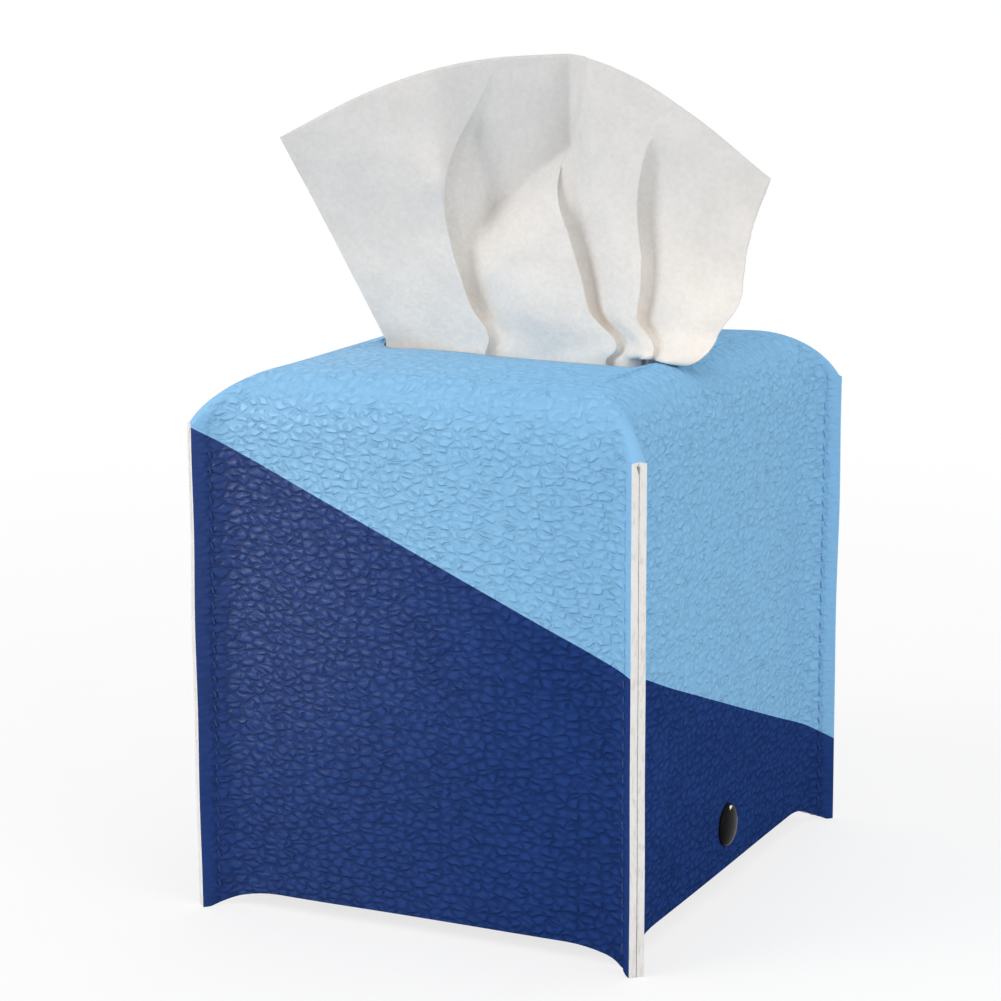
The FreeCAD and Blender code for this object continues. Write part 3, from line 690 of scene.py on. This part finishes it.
def join_walls(grids):
    """Points and quads of the whole outside: walls apart up to the seams' top, closed rings above it."""
    walls, rows, columns = grids.shape[:3]
    upper = grids[:, WALL_STEPS:]
    starts = (upper[:, :, 0] + np.roll(upper, 1, axis=0)[:, :, -1]) / 2
    rings = np.concatenate([starts[:, :, None], upper[:, :, 1:-1]], 2)
    rings = rings.transpose(1, 0, 2, 3).reshape(rows - WALL_STEPS, -1, 4)
    rings = soften(rings, SOFTEST * ease(np.arange(1, len(rings) + 1) / ROLL_STEPS))
    lower = grids[:, :WALL_STEPS].reshape(-1, 4)
    around = rings.shape[1]
    lower_numbers = np.arange(len(lower)).reshape(walls, WALL_STEPS, columns)
    ring_numbers = len(lower) + np.arange(rings.shape[0] * around).reshape(-1, around)
    quads = []
    for wall in range(walls):
        places = (wall * (columns - 1) + np.arange(columns)) % around
        quads.append(grid_quads(np.concatenate([lower_numbers[wall], ring_numbers[:, places]])))
    return np.concatenate([lower, rings.reshape(-1, 4)]), np.concatenate(quads)


WALL_WAVE = 0.0005
EDGE_ROUND = 0.0003
cover_grid, cover_quads = join_walls(wall_grids)
cover_points, stretch = cover_grid[:, :3], cover_grid[:, 3]
wander = WALL_WAVE * waves(seed=3, points=cover_points, longest=0.11, shortest=0.03, count=14)
leather_shell = make_piece("leather_shell", cover_points * (1 + wander / WALL_X)[:, None], cover_quads,
                           [printed_leather, woven_backing, raw_edge])
dress(leather_shell, "cover", "printed_leather", "leather_cover")
stretched = leather_shell.data.attributes.new("stretch", "FLOAT", "POINT")
stretched.data.foreach_set("value", np.clip(stretch, 0, 1).astype(np.float32))

thickness = leather_shell.modifiers.new("thickness", "SOLIDIFY")
thickness.thickness = LEATHER
thickness.offset = -1
thickness.material_offset = 1
thickness.material_offset_rim = 2
cut_edges = leather_shell.modifiers.new("cut_edges", "BEVEL")
cut_edges.width = EDGE_ROUND
cut_edges.segments = 2
cut_edges.limit_method = "ANGLE"
cut_edges.angle_limit = SHARP

# %% [markdown]
# ## The stitches
# A lockstitch shows as a row of short bars that dive into the leather at both ends. A curve with a bevel
# could draw each one, but a few hundred are wanted, so one bar is worked out as rings along an arched
# line and broadcast to all its places at once. Each bar leans a little, as the needle lays it.

# %% Stitches
STITCH_PITCH = 0.0042
STITCH_LENGTH = 0.0031
STITCH_MARGIN = 0.005
THREAD = 0.0007
LEAN = 0.00035
BAR_RISE, BAR_DIVE = 0.40, 0.9
BAR_RADII = np.array([0.0, 0.75, 1.0, 1.0, 1.0, 0.75, 0.0])
BAR_SIDES = 6


def stitch_row(x_side, y_side):
    """Rings of all the bars of one seam: along s from -1 to 1 a bar rises off the face as 1 - s^4, leans
    as s, and its rings have the thread's radius, closing to a point inside the leather."""
    count = int((FIN_TOP - 2 * STITCH_MARGIN - STITCH_LENGTH) // STITCH_PITCH) + 1
    s = np.linspace(-1, 1, len(BAR_RADII))
    angle = np.linspace(0, 2 * np.pi, BAR_SIDES, endpoint=False)
    outward = np.array([x_side, y_side, 0]) * SIN_45
    across = np.array([-y_side, x_side, 0]) * SIN_45
    foot = np.array([x_side * WALL_X, y_side * WALL_Y, 0]) + outward * (VALLEY_END + STITCH_IN)
    face = np.array([-1, 1])[:, None, None, None]
    low = STITCH_MARGIN + STITCH_PITCH * np.arange(count)[:, None, None]
    ring = (BAR_RADII * THREAD / 2)[:, None]
    off = FIN_HALF - STITCH_GROOVE + THREAD * (BAR_RISE - BAR_DIVE * s ** 4)[:, None] + ring * np.sin(angle)
    lean = LEAN * s[:, None] + ring * np.cos(angle)
    rise = low + STITCH_LENGTH * (s[:, None] + 1) / 2 + 0 * ring
    off, lean, rise = np.broadcast_arrays(face * off, face * lean, rise)
    bars = foot + off[..., None] * across + lean[..., None] * outward + rise[..., None] * [0, 0, 1]
    return bars.reshape(-1, len(s), BAR_SIDES, 3)


for seam_name, x_side, y_side in (("front_left", -1, -1), ("front_right", 1, -1),
                                  ("back_left", -1, 1), ("back_right", 1, 1)):
    bars = stitch_row(x_side, y_side)
    one_bar = tube_quads(*bars.shape[1:3])
    starts = np.arange(len(bars))[:, None, None] * bars.shape[1] * bars.shape[2]
    thread_row = make_piece(f"thread_{seam_name}", bars, one_bar + starts, [seam_thread], merge=True)
    dress(thread_row, "cover", "seam_thread", f"stitches_{seam_name}")

# %% [markdown]
# ## The snaps
# A snap is four turned pieces: the black cap and the socket clinched to the wall, and the stud and its
# post on the strap's end. A turned piece is a profile carried round an axis, so one function makes them
# all from their half profiles. The cap and the post are enamelled and show the lamps as clear spots, and
# the pieces between them are nickel. The socket's wire spring keeps the shape that the construction gave
# it.

# %% Snap finishes
ENAMEL_TONES = ((0.004, 0.004, 0.005, 1), (0.011, 0.011, 0.012, 1))
RUB_RUN = (1.0, 1.0, 6.0)
NICKEL_DULL = 0.78
NICKEL_ROUGHER = 0.16
TURNING_RUN = (8.0, 1.0, 1.0)


def enamel_finish():
    """Black enamel: deep, clear and smooth, with a faint unevenness and fine rubbed marks."""
    material, tree, shader = new_material("black_enamel", Specular_IOR_Level=0.03)
    rub = noise(tree, object_place(tree, RUB_RUN), scale=900.0, detail=3.0)
    set_colour(tree, shader, mix_colour(tree, rub, *ENAMEL_TONES))
    gloss = ranged(tree, rub, low=0.3, high=0.75, to_low=0.06, to_high=0.16)
    tree.links.new(gloss, shader.inputs["Roughness"])
    add_bump(tree, shader, noise(tree, object_place(tree), scale=260.0), strength=0.10, distance=0.0002)
    return material


def nickel_finish(name, colour, rough):
    """Turned metal: fine rings about the snap's axis, and a slow change of gloss."""
    material, tree, shader = new_material(name, Metallic=1.0)
    cloud = noise(tree, object_place(tree), scale=350.0, detail=3.0)
    set_colour(tree, shader, toned(tree, colour, NICKEL_DULL, 1.0, cloud))
    gloss = ranged(tree, cloud, low=0.3, high=0.7, to_low=rough, to_high=rough + NICKEL_ROUGHER)
    tree.links.new(gloss, shader.inputs["Roughness"])
    rings = noise(tree, object_place(tree, TURNING_RUN), scale=1200.0)
    add_bump(tree, shader, rings, strength=0.15, distance=0.0001)
    return material


black_enamel = enamel_finish()
snap_metal = nickel_finish("snap_metal", (0.78, 0.76, 0.73, 1), rough=0.2)
spring_wire = nickel_finish("spring_wire", (0.62, 0.61, 0.60, 1), rough=0.3)
print("snap finishes made: enamel, nickel and spring wire")

# %% Turned pieces
SNAP_HEIGHT = 0.019
TURN_STEPS = 64
DOME_STEPS = 14
CAP_RADIUS = 0.0062
CAP_RIM = 0.0006
CAP_HEIGHT = 0.0024
DOME_POWER = 0.9
POST_RADIUS = 0.0021
CLINCH = {"radius": 0.003, "thick": 0.0004}
SOCKET = {"radius": 0.0056, "depth": 0.0034, "floor": 0.0006, "lip": 0.0006, "chamber": 0.0043,
          "mouth": 0.0029}
SNAP_GAP = 0.0003
SNAP_FIT = 0.0001
STUD = {"radius": 0.005, "base": 0.0007, "nub": 0.0019, "reach": 0.0017, "wall": 0.0005}
SNAP_STACK = SOCKET["depth"] + SNAP_GAP + STUD["base"]
NUB_DOME = 0.4
BARREL = {"radius": 0.001, "head": 0.0045, "thick": 0.0008}
HEAD_DOME = 0.5
STRAP = 0.0016


def inside(length):
    """Place on a snap's axis, outwards from the wall's outer face, of a point that far inside the wall."""
    return -LEATHER - length


def dome(radius, low, high):
    """Profile of a domed head from its middle to its edge: a quarter of an ellipse, flattened by its
    power."""
    t = np.pi / 2 * np.linspace(0, 1, DOME_STEPS)
    return list(zip(radius * np.sin(t), low + (high - low) * np.cos(t) ** DOME_POWER))


def snap_profiles():
    """Half profiles of a snap's turned pieces as (radius, place on the axis)."""
    seat = inside(SNAP_STACK)
    base = seat + STUD["base"]
    tip = inside(SOCKET["depth"] - STUD["reach"])
    bore = BARREL["radius"] + SNAP_FIT
    floor = inside(SOCKET["floor"])
    front = inside(SOCKET["depth"])
    lip = inside(SOCKET["depth"] - SOCKET["lip"])
    hole = POST_RADIUS + SNAP_FIT
    back = seat - STRAP
    cap = dome(CAP_RADIUS, CAP_RIM, CAP_HEIGHT)
    cap += [(CAP_RADIUS, 0), (POST_RADIUS, 0), (POST_RADIUS, floor), (CLINCH["radius"], floor),
            (CLINCH["radius"], floor - CLINCH["thick"]), (0, floor - CLINCH["thick"])]
    socket = [(hole, -LEATHER), (SOCKET["radius"], -LEATHER), (SOCKET["radius"], front),
              (SOCKET["mouth"], front), (SOCKET["mouth"], lip), (SOCKET["chamber"], lip),
              (SOCKET["chamber"], floor), (hole, floor), (hole, -LEATHER)]
    nub = dome(STUD["nub"], tip - STUD["nub"] * NUB_DOME, tip)
    stud = nub + [(STUD["nub"], base), (STUD["radius"], base), (STUD["radius"], seat), (bore, seat),
                  (bore, tip - STUD["wall"]), (0, tip - STUD["wall"])]
    head = dome(BARREL["head"], back - BARREL["thick"] * HEAD_DOME, back - BARREL["thick"])
    post = head + [(BARREL["head"], back), (BARREL["radius"], back),
                   (BARREL["radius"], tip - STUD["wall"] - SNAP_FIT), (0, tip - STUD["wall"] - SNAP_FIT)]
    return {"snap_cap": cap, "snap_socket": socket, "snap_stud": stud, "stud_post": post}


def turned(name, profile, side, material):
    """A profile carried round the snap's axis: (r cos t, r sin t) about it, on the left (-1) or right
    (1) wall."""
    radius, out = np.array(profile).T[:, :, None]
    t = np.linspace(0, 2 * np.pi, TURN_STEPS, endpoint=False)
    x = side * (WALL_X + out) + 0 * t
    points = np.stack([x, radius * np.cos(t), SNAP_HEIGHT + radius * np.sin(t)], -1)
    piece = make_piece(name, points, tube_quads(len(profile), TURN_STEPS), [material], merge=True)
    piece.data.set_sharp_from_angle(angle=SHARP)
    return piece


SNAP_PLACES = {
    "snap_cap": ("cover", "black_enamel", black_enamel),
    "snap_socket": ("cover", "snap_metal", snap_metal),
    "snap_stud": ("strap_end", "snap_metal", snap_metal),
    "stud_post": ("strap_end", "black_enamel", black_enamel),
}
for side_name, side in (("left", -1), ("right", 1)):
    for part_name, profile in snap_profiles().items():
        body, slot, material = SNAP_PLACES[part_name]
        if body != "cover":
            body = f"{body}_{side_name}"
        piece = turned(f"turned_{part_name}_{side_name}", profile, side, material)
        dress(piece, body, slot, f"{part_name}_{side_name}")
    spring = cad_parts[f"socket_spring_{side_name}"]
    spring.data.materials.clear()
    spring.data.materials.append(spring_wire)

# %% [markdown]
# ## The strap
# A strap of the same leather closes the open bottom. It is one band: flat across the bottom, folded up at
# each end, with a round tab on the snap. Each end is a flat section carried along its path. The middle
# moves as one.

# %% Strap
STRAP_HALF = 0.011
STRAP_LOW = 0.006
FOLD_RADIUS = 0.002
STRAP_SPLIT = 0.040
SECTION_STEPS = 40
SECTION_POWER = 8
FOLD_STEPS = 10
TAB_STEPS = 26
TAB_CORNER = 0.0012
RUN_STEPS = 17

strap_face = WALL_X + inside(SNAP_STACK)
fold_middle = FOLD_RADIUS + STRAP / 2
fold_x = strap_face - FOLD_RADIUS - STRAP
fold_z = STRAP_LOW + STRAP + FOLD_RADIUS


def band(path, normal, half_width):
    """A flat section carried along a path in the XZ plane: a superellipse |y/w|^n + |t/h|^n = 1 whose
    width is w along Y and whose thickness h lies along the path's normal. It closes where the width runs
    out."""
    k = np.linspace(0, 2 * np.pi, SECTION_STEPS, endpoint=False)
    power = 2 / SECTION_POWER
    y = np.sign(np.cos(k)) * np.abs(np.cos(k)) ** power * half_width[:, None]
    thin = np.minimum(1, np.sqrt(half_width / TAB_CORNER))[:, None]
    t = np.sign(np.sin(k)) * np.abs(np.sin(k)) ** power * STRAP / 2 * thin
    x = path[:, :1] + normal[:, :1] * t
    z = path[:, 1:] + normal[:, 1:] * t
    return np.stack([x, y, z], -1)


def strap_end(side):
    """Path of one end, from the split: along the bottom, a quarter turn up, and the tab with its
    half-round end."""
    turn = np.linspace(0, np.pi / 2, FOLD_STEPS)
    lean = np.linspace(0, np.pi / 2, TAB_STEPS // 2)
    tab_z = np.concatenate([np.linspace(fold_z, SNAP_HEIGHT, TAB_STEPS // 2)[1:],
                            SNAP_HEIGHT + STRAP_HALF * np.sin(lean)[1:]])
    path = np.concatenate([
        [(STRAP_SPLIT, fold_z - fold_middle), (STRAP_SPLIT, fold_z - fold_middle)],
        np.stack([fold_x + fold_middle * np.sin(turn), fold_z - fold_middle * np.cos(turn)], -1),
        np.stack([np.full_like(tab_z, fold_x + fold_middle), tab_z], -1)])
    bend = np.concatenate([[0, 0], turn, np.full_like(tab_z, np.pi / 2)])
    normal = np.stack([-np.sin(bend), np.cos(bend)], -1)
    half_width = np.full(len(path), STRAP_HALF)
    half_width[-len(lean) + 1:] = STRAP_HALF * np.cos(lean)[1:]
    half_width[[0, -1]] = 0
    return band(path, normal, half_width) * [side, 1, 1]


def strap_piece(name, rings):
    piece = make_piece(name, rings, tube_quads(*rings.shape[:2]), [strap_leather], merge=True)
    piece.data.set_sharp_from_angle(angle=SHARP)
    return piece


for side_name, side in (("left", -1), ("right", 1)):
    end = strap_piece(f"strap_end_{side_name}", strap_end(side))
    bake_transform(end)
    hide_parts(f"strap_tab_{side_name}")

run_x = np.concatenate([[-STRAP_SPLIT], np.linspace(-STRAP_SPLIT, STRAP_SPLIT, RUN_STEPS), [STRAP_SPLIT]])
run_path = np.stack([run_x, np.full_like(run_x, fold_z - fold_middle)], -1)
run_half = np.full(len(run_x), STRAP_HALF)
run_half[[0, -1]] = 0
strap_middle = strap_piece("strap_middle", band(run_path, np.tile([0.0, 1.0], (len(run_x), 1)), run_half))
dress(strap_middle, "strap", "strap_leather", "strap_run")

# %% [markdown]
# ## The tissue
# One tissue stands in the slot, gathered at the neck and fanned out above it. A cloth simulation could
# drape a sheet, but the standing folds of crisp paper are few and clear, so they are drawn: the sheet is
# a grid between the neck and the upper edge, and each pleat ends in an edge behind which the paper turns
# back on itself before it goes on. The grid's lines follow these edges, so that none is cut into teeth.

# %% Tissue finish
# Tones near the slot and higher up: painted light, paler and warmer near the slot, darker above.
TISSUE_PAINTED_LIGHT_TONES = (((0.862, 0.808, 0.748, 1), (0.682, 0.668, 0.652, 1)),
                ((0.942, 0.888, 0.825, 1), (0.752, 0.734, 0.716, 1)))
PAINTED_LIGHT_RISE = 0.06
CRINKLE_SHARE = 0.8


def tissue_finish():
    """Soft white paper: cloudy, matt, with fine fibres and a faint crinkle. Its colour is painted light:
    paler and warmer near the slot and darker higher up, to offset the shade and the blue light that the
    leather throws back near the slot."""
    material, tree, shader = new_material("tissue_paper", Roughness=0.95, Specular_IOR_Level=0.1,
                                          Sheen_Weight=0.1)
    place = object_place(tree)
    fibres = noise(tree, place, scale=700.0, detail=5.0)
    clouds = noise(tree, place, scale=110.0, detail=4.0)
    tone = math(tree, "MULTIPLY", math(tree, "ADD", fibres, clouds), 0.5)
    height = add_node(tree, "ShaderNodeSeparateXYZ", {0: place}).outputs["Z"]
    # Painted light: the paper is paler and warmer near the slot and darker higher up, offsetting shade and
    # the leather's blue light.
    upper = ranged(tree, height, HEIGHT, HEIGHT + PAINTED_LIGHT_RISE)
    painted_light_mixes = [mix_colour(tree, upper, *tones) for tones in TISSUE_PAINTED_LIGHT_TONES]
    set_colour(tree, shader, mix_colour(tree, ranged(tree, tone, low=0.3, high=0.7), *painted_light_mixes))
    crinkle = noise(tree, place, scale=240.0, detail=5.0)
    relief = math(tree, "MULTIPLY_ADD", crinkle, CRINKLE_SHARE, tone)
    add_bump(tree, shader, relief, strength=0.6, distance=0.0006)
    return material


tissue_paper = tissue_finish()
print("tissue finish made, warm up to", PAINTED_LIGHT_RISE, "m above the slot")

# %% The tissue's outline and folds
TISSUE_TAIL = 0.014
PLY = 0.00022
SPREAD_STEPS = 300
RISE_STEPS = 96
RISE_CROWD = 1.25
TAIL_STEPS = 6
FAN_TURN = 0.3
FAN_MIDDLE = -0.005
TOP_X = [-0.0658, -0.0409, -0.0191, 0.0024, 0.0165, 0.0290, 0.0450, 0.0663]
TOP_Z = [0.2109, 0.2239, 0.2312, 0.2338, 0.2336, 0.2288, 0.2185, 0.2008]
TIP_LEFT, TIP_RIGHT = TOP_X[0], TOP_X[-1]
NECK_AT = [0.0, 0.2, 0.40, 0.62, 0.84, 0.95, 1.0]
NECK_Y = [-0.0065, -0.0110, -0.0120, -0.0120, -0.0120, -0.0102, -0.0070]
NECK_LEFT = -0.0423
EDGE_LIFT = [0.0, 0.05, 0.16, 0.30, 0.54, 0.76, 1.0]
RIGHT_EDGE = [0.0420, 0.0540, 0.0590, 0.0630, 0.0629, 0.0636, 0.0663]
FOLDS = {
    "left": {"column": 0.32, "return": 0.14},
    "middle": {"column": 0.62, "return": 0.10},
    "narrow": {"column": 0.79, "return": 0.10},
}
LIFT = [0.0, 0.12, 0.27, 0.42, 0.55, 0.72, 0.86, 1.0]
FOLD_LINE = {
    "left": [0.415, 0.338, 0.300, 0.290, 0.300, 0.340, 0.40, 0.45],
    "middle": [0.850, 0.690, 0.622, 0.586, 0.566, 0.588, 0.612, 0.612],
    "narrow": [0.962, 0.815, 0.776, 0.765, 0.758, 0.765, 0.780, 0.790],
}
FOLD_DROP = {
    "left": [0.0040, 0.0052, 0.0054, 0.0048, 0.0046, 0.0034, 0.0008, 0.0],
    "middle": [0.0036, 0.0052, 0.0056, 0.0050, 0.0034, -0.0005, -0.0008, -0.0004],
    "narrow": [0.0028, 0.0042, 0.0046, 0.0046, 0.0042, 0.0028, 0.0, 0.0],
}
FOLD_STRIP = 0.018
FOLD_UNDER = 0.95
SIGN_SOFT = 0.0012
RETURN_FIRST, RETURN_PACE = 0.45, 3
NECK_DEPTH, NECK_RISE = 0.55, 0.15
# Each swell: height, middle and half width across the sheet, middle and half height up it.
SWELLS = {
    "pillow": (0.0034, 0.52, 0.13, 0.16, 0.26),
    "knuckle": (0.0030, 0.29, 0.045, 0.62, 0.10),
    "left panel": (-0.0030, 0.10, 0.09, 0.45, 0.30),
    "right panel": (-0.0035, 0.93, 0.08, 0.42, 0.22),
}
HOLLOW = {"deep": 0.0140, "from": 0.325, "rise": 0.42, "slope": 1.0, "below": 0.22,
          "left": 0.29, "left_soft": 0.10, "right": 0.645, "right_soft": 0.06}
FLAP = {"droop": 0.0024, "forward": 0.0075, "lift": 0.05, "high": 0.05, "wide": 0.12}
CRINKLE, CRINKLE_PACE = 0.0013, 4
TORN, TORN_FROM, TORN_WIDE, TORN_PACE = 0.0011, 0.975, 0.025, 12


def fan_outline(across, up):
    """Where the unfolded fan lies: straight across from its left to its right edge at each height, on a
    line that turns from the slot's own to the fan's plane on the way up. The flap, a bell at the lower
    right corner, hangs forward over the lip."""
    top_x = TIP_LEFT + (TIP_RIGHT - TIP_LEFT) * across
    left = NECK_LEFT + (TIP_LEFT - NECK_LEFT) * up
    x = left + (through(EDGE_LIFT, RIGHT_EDGE, up) - left) * across
    neck_y = through(NECK_AT, NECK_Y, across)
    y = neck_y + (FAN_MIDDLE + FAN_TURN * top_x - neck_y) * up
    z = HEIGHT + (through(TOP_X, TOP_Z, top_x) - HEIGHT) * up
    flap = np.exp(-((across - 1) / FLAP["wide"]) ** 2 - ((up - FLAP["lift"]) / FLAP["high"]) ** 2)
    flap = flap * ease(up / FLAP["lift"])
    return np.stack([x, y - FLAP["forward"] * flap, z - FLAP["droop"] * flap], -1)


def folds(c, up):
    """Depth and sideways shift of the folds. In a fold's narrow strip, s from 0 to 1, the paper drops
    back by D (2 s - s^2) and turns under its own edge by -U D sin(pi s); then it eases forward again,
    first quickly. Where D is negative the edge is on the other side, and D s^2 takes the place of the
    first."""
    depth, shift = 0.0, 0.0
    for name, fold in FOLDS.items():
        drop = through(LIFT, FOLD_DROP[name], up)
        s = np.clip((c - fold["column"]) / FOLD_STRIP, 0, 1)
        edge_first = 0.5 + 0.5 * np.tanh(drop / SIGN_SOFT)
        fall = edge_first * (2 * s - s * s) + (1 - edge_first) * s * s
        past = (c - fold["column"] - FOLD_STRIP) / fold["return"]
        back = RETURN_FIRST * ease(past * RETURN_PACE) + (1 - RETURN_FIRST) * ease(past)
        depth = depth - drop * (fall - back)
        shift = shift - FOLD_UNDER * drop * np.sin(np.pi * s)
    return depth, shift


def hollow(across, up):
    """Depth of the hollow over the lower middle: a crease along a slanting line, to which the paper
    falls back as s^2 from below, and from which it leans forward as 1 - s up to the upper edge. The left
    side is soft."""
    past = up - HOLLOW["rise"] - HOLLOW["slope"] * (across - HOLLOW["from"])
    fall = np.clip(past / HOLLOW["below"] + 1, 0, 1) ** 2
    lean = np.clip(past / (1.0 - HOLLOW["rise"]), 0, 1)
    left = ease((across - HOLLOW["left"]) / HOLLOW["left_soft"])
    right = ease((HOLLOW["right"] - across) / HOLLOW["right_soft"])
    return -HOLLOW["deep"] * fall * (1 - lean) * left * right


def tissue_surface():
    """Grid of the sheet's points: the fan's outline, its folds, a few swells as bells, exp(-x^2 - y^2),
    the hollow and a crinkle of seeded waves. The tail goes straight down into the slot."""
    c = np.linspace(0, 1, SPREAD_STEPS)[None, :]
    up = (np.linspace(0, 1, RISE_STEPS) ** RISE_CROWD)[:, None]
    knots = [0.0] + [fold["column"] for fold in FOLDS.values()] + [1.0]
    lines = [0 * up] + [through(LIFT, line, up) for line in FOLD_LINE.values()] + [1 + 0 * up]
    across = 0
    for low, high, start, end in zip(knots[:-1], knots[1:], lines[:-1], lines[1:]):
        across = across + (end - start) * np.clip((c - low) / (high - low), 0, 1)

    depth, shift = folds(c, up)
    for tall, middle, wide, lift, high in SWELLS.values():
        depth = depth + tall * np.exp(-((across - middle) / wide) ** 2 - ((up - lift) / high) ** 2)
    depth = depth + hollow(across, up)
    depth = depth * (NECK_DEPTH + (1 - NECK_DEPTH) * ease(up / NECK_RISE))
    points = fan_outline(across, up)
    crinkle = waves(seed=11, points=points, longest=0.035, shortest=0.007, count=24)
    depth = depth + CRINKLE * crinkle * ease(up * CRINKLE_PACE)
    ragged = waves(seed=5, points=points * [0, 0, 1], longest=0.014, shortest=0.0018, count=18)
    ragged = ragged * ease((across - TORN_FROM) / TORN_WIDE) * ease(up * TORN_PACE)
    shift = shift + TORN * ragged
    normal = np.array([FAN_TURN, -1.0, 0.0]) / np.hypot(FAN_TURN, 1)
    beside = np.array([1.0, FAN_TURN, 0.0]) / np.hypot(FAN_TURN, 1)
    points = points + depth[..., None] * normal + shift[..., None] * beside

    tail = np.repeat(points[:1], TAIL_STEPS, axis=0)
    tail[..., 2] -= np.linspace(TISSUE_TAIL, 0, TAIL_STEPS, endpoint=False)[:, None]
    return np.concatenate([tail, points])


tissue_grid = tissue_surface()
tissue_numbers = np.arange(tissue_grid.shape[0] * tissue_grid.shape[1]).reshape(tissue_grid.shape[:2])
tissue_sheet = make_piece("tissue_sheet", tissue_grid, grid_quads(tissue_numbers), [tissue_paper])
dress(tissue_sheet, "tissue", "tissue_paper", "tissue")
plies = tissue_sheet.modifiers.new("plies", "SOLIDIFY")
plies.thickness = PLY
plies.offset = 0

# %% [markdown]
# ## The floor
# A wide plain white floor carries the shadow and the light that a table throws back. It isn't part of the
# object.

# %% Floor and finish
floor_corners = np.array([[-1, -1, 0], [1, -1, 0], [1, 1, 0], [-1, 1, 0]]) * FLOOR_SIDE / 2
floor = make_piece("floor", floor_corners, [[0, 1, 2, 3]], [floor_finish()])
